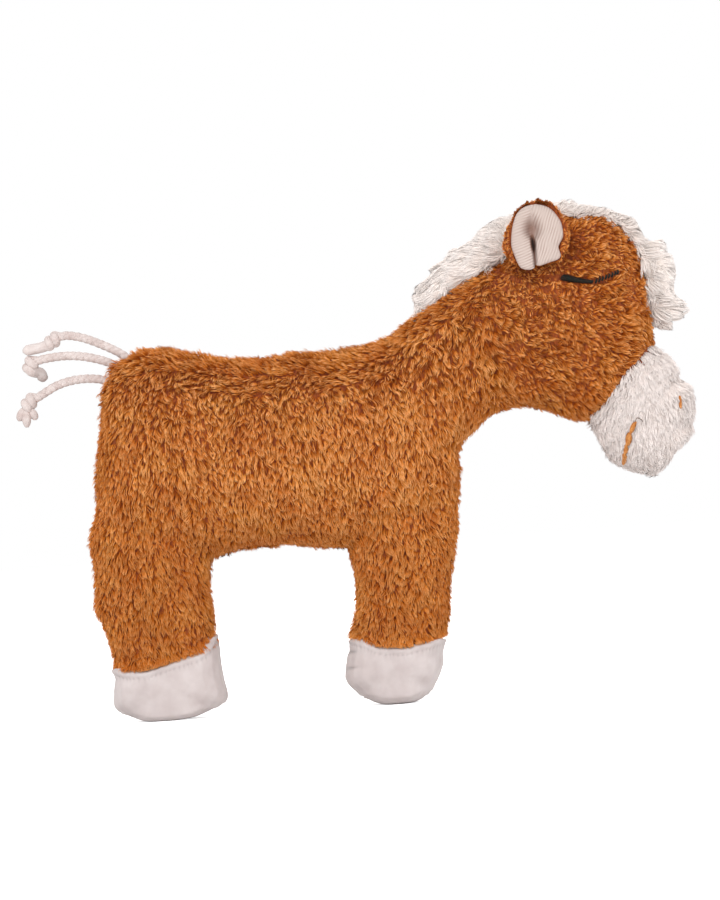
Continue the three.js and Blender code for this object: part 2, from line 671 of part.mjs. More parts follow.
// A knot is two wraps of the cord round its own line, and the stub that comes out of them.
function makeKnot(name, cordEnd, along, [stubX, stubZ]) {
  const [segments, corners] = [12, 8];
  const wrap = KNOT_LENGTH / 2;
  const profile = [[0, 0], [KNOT_RADIUS * KNOT_FLANK, 0]];
  for (const middle of [wrap / 2, wrap * 1.5])
    profile.push([KNOT_RADIUS, middle], [KNOT_RADIUS * KNOT_WAIST, middle + wrap / 2]);
  profile.push([0, KNOT_LENGTH + CORD_RADIUS / 2]);
  const wraps = new THREE.LatheGeometry(profile.map(([r, y]) => new THREE.Vector2(r, y)), segments);
  wraps.applyQuaternion(new THREE.Quaternion().setFromUnitVectors(new THREE.Vector3(0, 1, 0), along));
  const start = cordEnd.clone().addScaledVector(along, SEWN_GAP);
  wraps.translate(start.x, start.y, start.z);
  const middle = start.clone().addScaledVector(along, wrap);
  const stub = new THREE.LineCurve3(middle, new THREE.Vector3(stubX, 0, stubZ));
  add(name, solid(wraps).add(solid(tube(stub, CORD_RADIUS, corners, 1))), braidedCotton());
}

makeTorso();
makeRattle();
makeLimbs();
const face = makeHead();
makeEars(face.head);
makeStitches(face);
makeTail();

export default toy;
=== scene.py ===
import math

import bmesh
import bpy
import numpy as np
from mathutils import Matrix, Vector
from mathutils.bvhtree import BVHTree
from mathutils.kdtree import KDTree


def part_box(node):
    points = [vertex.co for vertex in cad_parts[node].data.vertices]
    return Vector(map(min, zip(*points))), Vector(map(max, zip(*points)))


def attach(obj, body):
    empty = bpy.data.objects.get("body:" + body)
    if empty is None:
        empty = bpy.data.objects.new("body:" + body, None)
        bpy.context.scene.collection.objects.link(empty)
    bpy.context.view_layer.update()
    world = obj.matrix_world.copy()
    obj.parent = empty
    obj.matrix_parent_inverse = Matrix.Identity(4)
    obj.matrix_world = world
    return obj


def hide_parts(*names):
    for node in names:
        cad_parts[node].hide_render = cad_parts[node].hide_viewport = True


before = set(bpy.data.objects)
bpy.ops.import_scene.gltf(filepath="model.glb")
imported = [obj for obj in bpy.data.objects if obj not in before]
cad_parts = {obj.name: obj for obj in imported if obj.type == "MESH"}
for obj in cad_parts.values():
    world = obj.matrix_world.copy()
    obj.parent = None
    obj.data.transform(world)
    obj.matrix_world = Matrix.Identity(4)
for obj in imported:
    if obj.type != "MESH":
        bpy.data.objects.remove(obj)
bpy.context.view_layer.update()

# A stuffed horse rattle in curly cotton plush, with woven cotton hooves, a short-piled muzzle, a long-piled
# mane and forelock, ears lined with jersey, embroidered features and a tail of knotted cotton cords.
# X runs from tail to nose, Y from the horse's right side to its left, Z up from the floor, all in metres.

MM = 0.001
SIDES = (("right", -1), ("left", 1))  # the horse's right faces the camera, at -Y

# The camera stands where the photograph was taken from: square to the horse's side, and rolled a little.
CAMERA_DISTANCE = 2.4
VIEW_HEIGHT = 0.270  # height of the picture at the seam plane
VIEW_CENTRE = (-0.00935, 0.07663)  # X and Z of the middle of the picture
CAMERA_ROLL = math.radians(-4.124)
SENSOR = 36

# The pile of the brown plush.
PILE_DEPTH = 1.5 * MM  # from the backing cloth to the outline that the model gives
LOCK_SPACING = 1.0 * MM
STRANDS_PER_MM2 = 4.8
FINE_STRANDS_PER_MM2 = 7.5  # on the muzzle, the mane and the forelock
STRAND_LENGTH = 2.5 * MM
STRAND_RADIUS = 0.13 * MM
MOST_STRANDS = 12000  # in one piece, so that its mesh stays under 200,000 triangles
ROOT_DEPTH = 0.4 * MM  # how far under the cloth a strand starts


def make_camera():
    data = bpy.data.cameras.new("camera")
    data.sensor_width = SENSOR
    data.lens = SENSOR * CAMERA_DISTANCE / VIEW_HEIGHT
    data.clip_start, data.clip_end = 0.05, 20
    camera = bpy.data.objects.new("camera", data)
    place = Matrix.Translation((VIEW_CENTRE[0], -CAMERA_DISTANCE, VIEW_CENTRE[1]))
    turn = Matrix.Rotation(math.pi / 2, 4, "X") @ Matrix.Rotation(CAMERA_ROLL, 4, "Z")
    camera.matrix_world = place @ turn
    bpy.context.scene.collection.objects.link(camera)
    bpy.context.scene.camera = camera


# Colours and shader nodes.
def linear(code):
    """An sRGB hex colour such as "b8702e" as linear red, green, blue and alpha."""
    values = [int(code[i : i + 2], 16) / 255 for i in (0, 2, 4)]
    return [v / 12.92 if v <= 0.04045 else ((v + 0.055) / 1.055) ** 2.4 for v in values] + [1.0]


def add(tree, kind, inputs=None, stops=None, **settings):
    """Adds a shader node with settings, its inputs' values or links, and a ramp's stops as (place, hex)."""
    made = tree.nodes.new("ShaderNode" + kind)
    for name, value in settings.items():
        setattr(made, name, value)
    for name, value in (inputs or {}).items():
        if isinstance(value, bpy.types.NodeSocket):
            tree.links.new(value, made.inputs[name])
        else:
            made.inputs[name].default_value = value
    for i, (place, code) in enumerate(stops or []):
        ramp = made.color_ramp.elements
        point = ramp[i] if i < len(ramp) else ramp.new(place)
        point.position, point.color = place, linear(code)
    return made


def new_material(name, colour, roughness, bump=None, **even):
    """A material whose colour, and bump as (height, metres), come from functions of its tree."""
    material = bpy.data.materials.new(name)
    material.use_nodes = True
    tree = material.node_tree
    shader = tree.nodes["Principled BSDF"]
    shader.inputs["Roughness"].default_value = roughness
    for socket, value in even.items():
        shader.inputs[socket.replace("_", " ")].default_value = value
    tree.links.new(colour(tree), shader.inputs["Base Color"])
    if bump:
        height, depth = bump
        made = add(tree, "Bump", {"Height": height(tree), "Distance": depth})
        tree.links.new(made.outputs["Normal"], shader.inputs["Normal"])
    return material


def noise(tree, size, detail=2.0, **inputs):
    """Smooth noise from 0 to 1 whose swells are about size metres across."""
    place = add(tree, "TexCoord").outputs["Object"]
    values = {"Vector": place, "Scale": 1 / size, "Detail": detail, **inputs}
    return add(tree, "TexNoise", values).outputs["Fac"]


def grain(size, depth, detail=2.0):
    """Bumps about size across and depth high."""
    return (lambda tree: noise(tree, size, detail)), depth


def mottled(size, detail, dark, pale, spread=0.2, **inputs):
    """A colour that wanders between a dark and a pale tone in swells about size across."""

    def colour(tree):
        stops = [(0.5 - spread, dark), (0.5 + spread, pale)]
        return add(tree, "ValToRGB", {"Fac": noise(tree, size, detail, **inputs)}, stops).outputs["Color"]

    return colour


def dimmed(colour, name, least):
    """A colour that falls to the least share of itself where the mesh's attribute of that name is 1."""

    def made(tree):
        painted = add(tree, "Attribute", attribute_name=name).outputs["Fac"]
        value = add(tree, "MapRange", {"Value": painted, "To Min": 1.0, "To Max": least})
        inputs = {"Color": colour(tree), "Value": value.outputs["Result"]}
        return add(tree, "HueSaturation", inputs).outputs["Color"]

    return made


def strand_colour(dark, middle, pale, uneven=0.16, redder=0.0, patch=13 * MM):
    """Colour of piled strands: dark at the root, pale at the tip, in patches darker and redder, and
    darkened by the painted shade that each strand carries.
    """

    def colour(tree):
        along, shade = (add(tree, "Attribute", attribute_name=n).outputs["Fac"] for n in ("along", "shade"))
        stops = [(0.0, dark), (0.5, middle), (1.0, pale)]
        ramp = add(tree, "ValToRGB", {"Fac": along}, stops).outputs["Color"]
        patches = {"Value": noise(tree, patch, 3.0), "From Min": 0.32, "From Max": 0.66}
        broad = add(tree, "MapRange", {**patches, "To Min": 1 - uneven, "To Max": 1 + uneven})
        both = {0: broad.outputs["Result"], 1: shade}
        light = add(tree, "Math", both, operation="MULTIPLY").outputs[0]
        # Where the pile is dark it is also redder, and where it is pale more golden.
        depth = {"Value": light, "From Min": 0.4, "From Max": 1.4, "To Min": 1.3, "To Max": 0.8}
        gamma = add(tree, "MapRange", depth).outputs["Result"]
        hue = add(tree, "MapRange", {**patches, "To Min": 0.5 - redder, "To Max": 0.5 + redder / 2})
        lit = {
            "Color": add(tree, "Gamma", {"Color": ramp, "Gamma": gamma}).outputs["Color"],
            "Value": add(tree, "Math", {0: light, 1: 0.6}, operation="POWER").outputs[0],
            "Hue": hue.outputs["Result"],
        }
        return add(tree, "HueSaturation", lit).outputs["Color"]

    return colour


def weave(tree):
    """Plain-woven threads 0.45 mm apart, as their height."""
    place = add(tree, "TexCoord").outputs["Object"]
    split = add(tree, "SeparateXYZ", {"Vector": place})
    turned = []
    for axis in ("X", "Z"):
        scaled = {0: split.outputs[axis], 1: 2 * math.pi / (0.45 * MM)}
        scaled = add(tree, "Math", scaled, operation="MULTIPLY")
        turned.append(add(tree, "Math", {0: scaled.outputs[0]}, operation="SINE").outputs[0])
    return add(tree, "Math", {0: turned[0], 1: turned[1]}, operation="MULTIPLY").outputs[0]


def brown_backing(tree):
    place = add(tree, "TexCoord").outputs["Object"]
    drawn_down = add(tree, "VectorMath", {0: place, 1: (1, 1, 0.3)}, operation="MULTIPLY").outputs[0]
    return mottled(0.6 * MM, 3.0, "5e2200", "954613", 0.15, Vector=drawn_down)(tree)


def jersey(tree):
    rib, fold_shade = (add(tree, "Attribute", attribute_name=n).outputs["Fac"] for n in ("rib", "fold_shade"))
    # Painted shade: darker down between the ribs, and pinkish brown to dark brown in the slit, the hollow
    # and the fold.
    cloth = add(tree, "ValToRGB", {"Fac": rib}, [(0.1, "a9958c"), (0.75, "c0b0a8")])
    shaded = add(tree, "ValToRGB", {"Fac": fold_shade}, [(0.0, "ffffff"), (0.5, "a07c6c"), (1.0, "452c20")])
    both = {6: cloth.outputs["Color"], 7: shaded.outputs["Color"], 0: 1.0}
    return add(tree, "Mix", both, data_type="RGBA", blend_type="MULTIPLY").outputs[2]


def make_materials():
    """Every finish of the toy, each named for what the real one is."""
    ginger = strand_colour("8c3904", "c9732b", "d7965b", 0.08, 0.003, 9 * MM)
    calico = dimmed(mottled(5 * MM, 5.0, "bbafad", "c9bfbd"), "stitch", 0.55)
    cord = dimmed(mottled(2.5 * MM, 4.0, "baa9a4", "d0c5c1"), "stub_shade", 0.72)
    knit, wool = grain(1.2 * MM, 0.2 * MM, 3.0), mottled(1.5 * MM, 6.0, "d8cdb6", "f0e8d6", Distortion=1.5)
    pale_backing = mottled(2 * MM, 3.0, "ded1ca", "ece2dc")
    made = {
        # The plush's knitted backing, seen only as the dark red-brown in the partings of the pile.
        "backing": new_material("knitted cotton backing", brown_backing, 0.95, knit),
        # Brushed teddy pile: combed ginger locks, redder at the root and paler at the tip, without a shine.
        "brown pile": new_material("brushed cotton teddy pile", ginger, 0.9, Specular_IOR_Level=0.04),
        # Backing of the pale piles: off-white, clouded in patches of 2 mm.
        "pale backing": new_material("pale knitted backing", pale_backing, 0.95),
        # Unbleached plain weave, drawn a little coarse so that it shows, and darkened with painted shade in
        # its stitches' holes, its puckers and its folds.
        "calico": new_material("plain-woven calico", calico, 0.9, (weave, 0.03 * MM), Sheen_Weight=0.1),
        # Jersey with ribs 0.8 mm apart in the mesh: painted shade makes it pinkish grey down between them,
        # and brown in the slit, the hollow and the fold.
        "jersey": new_material("ribbed cotton jersey", jersey, 0.9, grain(0.3 * MM, 0.03 * MM)),
        # Braided cord: matt cream, clouded in patches of 2.5 mm, and darkened with painted shade on the
        # middle cord's short end.
        "cord": new_material("braided cotton", cord, 0.9),
        # Carded wool wadding: cream and tangled.
        "wool": new_material("carded wool", wool, 1.0, grain(0.8 * MM, 0.3 * MM, 6.0)),
    }
    # Cotton piles: matt off-white, on the muzzle greyish pink towards the root as painted shade in its
    # partings, soft off-white in the mane.
    for name, title, *colours in (
        ("muzzle pile", "short cotton pile", "cbbab3", "e6dad4", "f0e6e2"),
        ("mane pile", "long cotton pile", "ecdfd6", "f0e5de", "f4ebe6"),
    ):
        made[name] = new_material(title, strand_colour(*colours, 0.03), 0.9, Specular_IOR_Level=0.1)
    # Threads: a soft satin shine, each one a little different in depth.
    for name, title, *colours in (
        ("eye thread", "rayon embroidery thread, black green", "080c09", "161e19"),
        ("mouth thread", "rayon embroidery thread, orange", "a76228", "d09254"),
        ("grey thread", "cotton thread end, grey", "6f5f57", "94857c"),
    ):
        colour, twist = mottled(0.8 * MM, 2.0, *colours, 0.15), grain(0.2 * MM, 0.02 * MM)
        made[name] = new_material(title, colour, 0.6, twist, Specular_IOR_Level=0.2)
    # Moulded plastics: smooth, with a faint mottle from the mould.
    for name, title, dark, pale, roughness, depth in (
        ("capsule", "moulded polypropylene", "eeeee8", "f6f6f2", 0.35, 0.08 * MM),
        ("bead", "moulded polystyrene", "c9c9c2", "dededa", 0.25, 0.04 * MM),
    ):
        colour, mould = mottled(6 * MM, 3.0, dark, pale), grain(0.6 * MM, depth)
        made[name] = new_material(title, colour, roughness, mould)
    return made


# Meshes as arrays.
def unit(vectors):
    return vectors / np.maximum(np.linalg.norm(vectors, axis=-1, keepdims=True), 1e-12)


def waves(points, size, seed):
    """Smooth noise of about -1 to 1 at each point, with swells about size across."""
    rng = np.random.default_rng(seed)
    ways = unit(rng.normal(size=(6, 3))) * rng.uniform(0.6, 1.4, (6, 1)) * 2 * math.pi / size
    return np.sin(points @ ways.T + rng.uniform(0, 2 * math.pi, 6)).sum(1) / 2.5


def rising(values, low, high):
    """0 below low, 1 above high, and smooth between."""
    share = np.clip((values - low) / (high - low), 0, 1)
    return share * share * (3 - 2 * share)


def bell(*ratios):
    """1 where every ratio is 0, and next to nothing where one is past 2."""
    return np.exp(-sum(ratio**2 for ratio in ratios))


def spots(table, points):
    """The sum at each point of round spots, each given as X, Z and reach in mm and its strength."""
    total = np.zeros(len(points))
    for x, z, reach, strength in table:
        total += strength * bell(*((points[:, [0, 2]] - [x * MM, z * MM]) / (reach * MM)).T)
    return total


def read(items, what, width=3, kind=float):
    """One property of all of a mesh's vertices, edges or triangles, a row for each."""
    found = np.empty(len(items) * width, kind)
    items.foreach_get(what, found)
    return found.reshape(-1, width)


def points_of(mesh):
    return read(mesh.vertices, "co")


def normals_of(mesh):
    return read(mesh.vertices, "normal")


def set_points(mesh, points):
    mesh.vertices.foreach_set("co", np.asarray(points, np.float32).ravel())
    mesh.update()


def paint(mesh, name, values):
    """Gives every vertex a value that the material reads by name."""
    mesh.attributes.new(name, "FLOAT", "POINT").data.foreach_set("value", values.astype(np.float32))


def link(name, mesh, material):
    mesh.materials.clear()
    mesh.materials.append(material)
    mesh.polygons.foreach_set("use_smooth", np.full(len(mesh.polygons), True))
    made = bpy.data.objects.new(name, mesh)
    bpy.context.scene.collection.objects.link(made)
    return made


def piece(name, mesh, material, body, slot, *nodes, fill=None):
    """A piece of the toy: its mesh with its material, parented to the body it rides on, with the CAD nodes
    it stands for hidden; the slot and fill arguments are not used.
    """
    made = link(name, mesh, material)
    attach(made, body)
    if nodes:
        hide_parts(*nodes)
    return made


def eased(mesh, times):
    """Smooths a mesh without shrinking it, by turns inwards and outwards."""
    a, b = read(mesh.edges, "vertices", 2, int).T
    here, there = np.r_[a, b], np.r_[b, a]
    points = points_of(mesh)
    count = np.bincount(here, minlength=len(points))[:, None]
    for i in range(2 * times):
        sums = np.stack([np.bincount(here, points[there, k], len(points)) for k in range(3)], 1)
        points += (0.5 if i % 2 == 0 else -0.52) * (sums / count - points)
    set_points(mesh, points)


def node_bmesh(name, grow=0.0):
    """A copy of a CAD node with its corners joined, pushed out by grow."""
    bm = bmesh.new()
    bm.from_mesh(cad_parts[name].data)
    bmesh.ops.remove_doubles(bm, verts=bm.verts, dist=1e-6)
    bmesh.ops.recalc_face_normals(bm, faces=bm.faces)
    bm.normal_update()
    for v, normal in [(v, v.normal.copy()) for v in bm.verts]:
        v.co += normal * grow
    return bm


def clipped(bm, point, normal):
    """Cuts away what lies past a plane, and closes the hole."""
    geometry = bm.verts[:] + bm.edges[:] + bm.faces[:]
    bmesh.ops.bisect_plane(bm, geom=geometry, plane_co=point, plane_no=normal, clear_outer=True)
    bmesh.ops.holes_fill(bm, edges=[e for e in bm.edges if e.is_boundary])
    bmesh.ops.triangulate(bm, faces=bm.faces)
    return bm


def fused(solids, voxel, times):
    """One closed, even, smooth mesh of the outside of several solids that meet."""
    whole = bmesh.new()
    for bm in solids:
        part = bpy.data.meshes.new("part")
        bm.to_mesh(part)
        whole.from_mesh(part)
        bm.free()
        bpy.data.meshes.remove(part)
    together = bpy.data.meshes.new("together")
    whole.to_mesh(together)
    whole.free()
    helper = bpy.data.objects.new("helper", together)
    bpy.context.scene.collection.objects.link(helper)
    remesh = helper.modifiers.new("remesh", "REMESH")
    remesh.mode, remesh.voxel_size = "VOXEL", voxel
    ready = helper.evaluated_get(bpy.context.evaluated_depsgraph_get())
    mesh = bpy.data.meshes.new_from_object(ready)
    bpy.data.objects.remove(helper)
    bpy.data.meshes.remove(together)
    keep_outermost(mesh)
    eased(mesh, times)
    return mesh


def keep_outermost(mesh):
    """Deletes every loose part but the widest, such as the wall of an inner hollow."""
    bm = bmesh.new()
    bm.from_mesh(mesh)
    left, groups = set(bm.verts), []
    while left:
        todo, group = [left.pop()], []
        while todo:
            v = todo.pop()
            group.append(v)
            near = [e.other_vert(v) for e in v.link_edges]
            near = [n for n in near if n in left]
            left.difference_update(near)
            todo += near
        groups.append(group)
    widest = max(groups, key=lambda g: max(v.co.x for v in g) - min(v.co.x for v in g))
    for group in groups:
        if group is not widest:
            bmesh.ops.delete(bm, geom=group, context="VERTS")
    bm.to_mesh(mesh)
    bm.free()
    mesh.update()


node_trees = {}


def node_tree(name):
    if name not in node_trees:
        bm = node_bmesh(name)
        node_trees[name] = BVHTree.FromBMesh(bm)
        bm.free()
    return node_trees[name]


def depth_in(name, points):
    """How deep each point lies inside a CAD node: above 0 inside it and below 0 outside, far points -1."""
    low, high = (np.array(corner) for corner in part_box(name))
    margin = 5 * MM
    found = np.full(len(points), -1.0)
    near = ((points > low - margin) & (points < high + margin)).all(1)
    tree = node_tree(name)
    for i in np.flatnonzero(near):
        place, normal, _, distance = tree.find_nearest(points[i])
        inside = (place - Vector(points[i])).dot(normal) > 0
        found[i] = distance if inside else -distance
    return found


def scattered(mesh, per_mm2, seed):
    """Points spread over a mesh by area, and the normal at each."""
    rng = np.random.default_rng(seed)
    points, normals = points_of(mesh), normals_of(mesh)
    mesh.calc_loop_triangles()
    corners = read(mesh.loop_triangles, "vertices", 3, int)
    a, b, c = (points[corners[:, k]] for k in range(3))
    area = np.linalg.norm(np.cross(b - a, c - a), axis=1) / 2
    count = int(area.sum() / MM**2 * per_mm2)
    face = rng.choice(len(corners), count, p=area / area.sum())
    u, v = rng.random((2, count))
    over = u + v > 1
    u[over], v[over] = 1 - u[over], 1 - v[over]
    weights = np.stack([1 - u - v, u, v], 1)[:, :, None]
    return (points[corners[face]] * weights).sum(1), unit((normals[corners[face]] * weights).sum(1))


def apart(points, gap):
    """Indices of points picked so that none lies nearer than gap to another."""
    cells, kept = {}, []
    around = [(i, j, k) for i in (-1, 0, 1) for j in (-1, 0, 1) for k in (-1, 0, 1)]
    for i, (x, y, z) in enumerate(np.floor(points / gap).astype(int).tolist()):
        near = (cells.get((x + dx, y + dy, z + dz), ()) for dx, dy, dz in around)
        if all(((points[i] - points[j]) ** 2).sum() >= gap * gap for group in near for j in group):
            cells.setdefault((x, y, z), []).append(i)
            kept.append(i)
    return np.array(kept)


def nearest(points, centres):
    tree = KDTree(len(centres))
    for i, centre in enumerate(centres):
        tree.insert(centre, i)
    tree.balance()
    return np.array([tree.find(p)[1] for p in points])


def within(points, outline):
    """Whether each point lies inside an outline, seen from the side."""
    x, z = points[:, 0], points[:, 2]
    inside = np.zeros(len(points), bool)
    for (x0, z0), (x1, z1) in zip(outline, outline[1:]):
        spans = (z0 > z) != (z1 > z)
        inside ^= spans & (x < x0 + (z - z0) * (x1 - x0) / (z1 - z0 if z1 != z0 else 1e-9))
    return inside


# Lines through given places.
def far_along(line):
    """How far along a line each of its points is."""
    return np.r_[0, np.cumsum(np.linalg.norm(np.diff(line, axis=0), axis=1))]


def evenly(line, count):
    far = far_along(line)
    at = np.linspace(0, far[-1], count)
    return np.stack([np.interp(at, far, line[:, k]) for k in range(3)], 1)


def smooth_path(points, count):
    """An even run of places along a smooth curve through points, given as X and Z if in the seam plane."""
    points = np.asarray(points, float)
    if points.shape[1] == 2:
        points = np.insert(points, 1, 0, axis=1)
    padded = np.vstack([2 * points[0] - points[1], points, 2 * points[-1] - points[-2]])
    t = np.linspace(0, 1, 24, endpoint=False)[:, None]
    fine = []
    for i in range(len(points) - 1):
        p0, p1, p2, p3 = padded[i : i + 4]
        bent = (2 * p0 - 5 * p1 + 4 * p2 - p3) * t**2 + (3 * p1 - p0 - 3 * p2 + p3) * t**3
        fine.append(0.5 * (2 * p1 + (p2 - p0) * t + bent))
    return evenly(np.vstack([*fine, points[-1:]]), count)


def fitted(points, centre, outline):
    """Points moved in or out from a centre, seen from the side, until they follow the given outline."""
    cells = 90
    flat = points[:, [0, 2]] - centre
    angle, radius = np.arctan2(flat[:, 1], flat[:, 0]), np.hypot(*flat.T)
    now = np.zeros(cells)
    np.maximum.at(now, ((angle + math.pi) / (2 * math.pi) * cells).astype(int) % cells, radius)
    at = (np.arange(cells) + 0.5) / cells * 2 * math.pi - math.pi
    drawn = smooth_path(outline, 300)[:, [0, 2]] - centre
    drawn_angle, drawn_radius = np.arctan2(drawn[:, 1], drawn[:, 0]), np.hypot(*drawn.T)
    order = np.argsort(drawn_angle)
    wanted = np.interp(at, drawn_angle[order], drawn_radius[order], period=2 * math.pi)
    away = np.abs((at[:, None] - drawn_angle[None] + math.pi) % (2 * math.pi) - math.pi).min(1)
    change = np.where(away < 0.06, np.clip(wanted / now, 0.8, 1.2), 1.0)
    kernel = np.array([1, 2, 3, 4, 3, 2, 1]) / 16
    change = np.convolve(np.r_[change[-3:], change, change[:3]], kernel, "valid")
    moved = points.copy()
    moved[:, [0, 2]] = centre + flat * np.interp(angle, at, change, period=2 * math.pi)[:, None]
    return moved


# Pile: strands that rise from the cloth, lie over, and gather into locks.
def combed(normals, towards, turn):
    """Unit directions in the surface: towards laid flat on it, then turned about the normal."""
    flat = unit(towards - (towards * normals).sum(1, keepdims=True) * normals)
    aside = np.cross(normals, flat)
    return flat * np.cos(turn)[:, None] + aside * np.sin(turn)[:, None]


def centre_lines(roots, normals, lies, lengths, rises, sway, steps):
    """Each strand's line from below its root: it rises, bends over along its lie, and sways sideways."""
    share = np.linspace(0, 1, steps)[None, :, None]
    rise = rises[:, None, None] * (1 - (1 - share) ** 2) - ROOT_DEPTH
    along = lengths[:, None, None] * share**1.25
    aside = np.cross(normals, lies)[:, None]
    swing = sway[:, None, None] * np.sin(share * 4)
    return roots[:, None] + normals[:, None] * rise + lies[:, None] * along + aside * swing


def pile(roots, normals, lies, spacing, length, rise, sway, pull, seed, steps=4, stray=0.2, parting_shade=0.3):
    """Centre lines of strands in locks that stand spacing apart, and how bright each is, with painted shade
    in the partings between locks.
    """
    rng = np.random.default_rng(seed)
    heads = apart(roots, spacing)
    member = nearest(roots, roots[heads])
    many, few = len(roots), len(heads)
    lock_length = length[heads] * rng.uniform(0.8, 1.2, few)
    lock_rise = rise[heads] * rng.uniform(0.8, 1.2, few)
    lock_turn = rng.normal(0, stray, few)
    lock_lie = combed(normals[heads], lies[heads], lock_turn)
    lock_sway = rng.normal(0, 1, few) * sway
    locks = centre_lines(roots[heads], normals[heads], lock_lie, lock_length, lock_rise, lock_sway, steps)
    own_lie = combed(normals, lies, lock_turn[member] + rng.normal(0, 0.22, many))
    own_length = length * rng.uniform(0.8, 1.2, many)
    own_rise = rise * rng.uniform(0.65, 1.15, many)
    own_sway = lock_sway[member] + rng.normal(0, 0.5, many) * sway
    lines = centre_lines(roots, normals, own_lie, own_length, own_rise, own_sway, steps)
    weight = pull * np.linspace(0, 1, steps)[None, :, None] ** 1.5
    away = np.clip(np.linalg.norm(roots - roots[heads][member], axis=1) / spacing, 0, 1)
    shade = rng.normal(1, 0.09, few)[member] * rng.normal(1, 0.06, many)
    # Painted shade: a strand is darker the nearer it grows to its lock's edge, where the locks part, and a
    # little lighter near the lock's middle.
    shade *= 1 + 0.3 * parting_shade - parting_shade * away**2
    return lines * (1 - weight) + locks[member] * weight, shade


def strand_mesh(name, lines, ups, radius, shade, soft, sides=3):
    """Closed flattish strands along lines, painted with how far along and how bright each is.

    The map has a cell for each strand. The softer the strands, the more they take the light as the cloth
    under them does.
    """
    count, steps = lines.shape[:2]
    share = np.linspace(0, 1, steps)
    radii = radius * np.interp(share, [0, 0.3, 0.75, 1], [0.9, 1.1, 0.8, 0.1])[None, :-1, None, None]
    ahead = unit(np.gradient(lines, axis=1))
    aside = unit(np.cross(ahead, ups[:, None]))
    over = np.cross(aside, ahead)
    turn = 2 * math.pi * np.arange(sides) / sides + math.pi / 2
    over *= np.sign((over * ups[:, None]).sum(-1, keepdims=True) + 1e-9)
    ring = np.cos(turn)[:, None] * aside[:, :-1, None] + 0.55 * np.sin(turn)[:, None] * over[:, :-1, None]
    outward, up = unit(ring), ups[:, None, None]
    upward = soft * (0.5 + 0.5 * (outward * up).sum(-1, keepdims=True))
    facing = unit((1 - upward) * outward + upward * up).reshape(count, -1, 3)
    facing = np.concatenate([facing, facing[:, -sides:].mean(1, keepdims=True)], 1)
    rings = (lines[:, :-1, None] + radii * ring).reshape(count, -1, 3)
    points = np.concatenate([rings, lines[:, -1:]], 1)
    each = points.shape[1]
    faces = [list(range(sides))]
    cell = [(0.1 + 0.8 * k / sides, 0.02 + 0.06 * (k % 2)) for k in range(sides)]
    for r in range(steps - 1):
        low, high = 0.1 + 0.85 * share[r : r + 2]
        for k in range(sides):
            a, b = r * sides + k, r * sides + (k + 1) % sides
            left, right = (k + 0.1) / sides, (k + 0.9) / sides
            if r < steps - 2:
                faces.append([a, a + sides, b + sides, b])
                cell += [(left, low), (left, high), (right, high), (right, low)]
            else:
                faces.append([a, each - 1, b])
                cell += [(left, low), ((left + right) / 2, high), (right, low)]
    corners = np.concatenate(faces)
    starts = np.cumsum([0] + [len(f) for f in faces[:-1]])
    strand = np.arange(count)
    mesh = bpy.data.meshes.new(name)
    mesh.vertices.add(count * each)
    mesh.vertices.foreach_set("co", points.astype(np.float32).ravel())
    mesh.loops.add(count * len(corners))
    mesh.loops.foreach_set("vertex_index", (corners[None] + strand[:, None] * each).ravel())
    mesh.polygons.add(count * len(faces))
    mesh.polygons.foreach_set("loop_start", (starts[None] + strand[:, None] * len(corners)).ravel())
    across = math.ceil(math.sqrt(count))
    corner = np.stack([strand % across, strand // across], 1)[:, None]
    places = (corner + np.array(cell)[None]) / across
    mesh.uv_layers.new(name="OFBake").data.foreach_set("uv", places.astype(np.float32).ravel())
    mesh.update(calc_edges=True)
    mesh.polygons.foreach_set("use_smooth", np.full(len(mesh.polygons), True))
    mesh.normals_split_custom_set_from_vertices(facing.reshape(-1, 3).tolist())
    paint(mesh, "along", np.tile(np.append(np.repeat(share[:-1], sides), 1.0), count))
    paint(mesh, "shade", np.repeat(shade, each))
    return mesh


def make_coats(name, order, most, lines, ups, radius, shade, soft, *rest):
    """Strands as pieces of no more than most, numbered if there are several."""
    parts = math.ceil(len(order) / most)
    for i, some in enumerate(np.array_split(order, parts)):
        title = name if parts == 1 else f"{name}_{i + 1}"
        piece(title, strand_mesh(title, lines[some], ups[some], radius, shade[some], soft), *rest)


def drawn_out(lines, roots, share):
    """Strands made longer or shorter from their roots."""
    return roots[:, None] + (lines - roots[:, None]) * share


def trimmed(lines, roots, outline):
    """Strands shortened until their tips lie inside an outline, seen from the side."""
    kept = lines.copy()
    for share in (0.85, 0.7, 0.55, 0.4, 0.25):
        out = ~within(kept[:, -1], outline)
        kept[out] = drawn_out(lines[out], roots[out], share)
    return kept


def to_the_side(normals, roots, share):
    """Normals leant towards the nearer side of the toy, for soft hair that lets the light through."""
    side = share * np.clip(roots[:, 1] / (2.5 * MM), -1, 1)
    return unit(normals + np.stack([0 * side, side, 0.4 * np.abs(side)], 1))


# The brown body: backing cloth in a right and a left panel, under a coat of pile.
BODY_NODES = (
    "torso_panel_right", "torso_panel_left", "torso_filling_right", "torso_filling_left", "neck", "head",
)
LEG_NODES = ("hind_leg", "front_leg")
TUCK = 5 * MM  # how far the backing reaches under a hoof or the muzzle
SEAM_GROOVE = 0.4 * MM
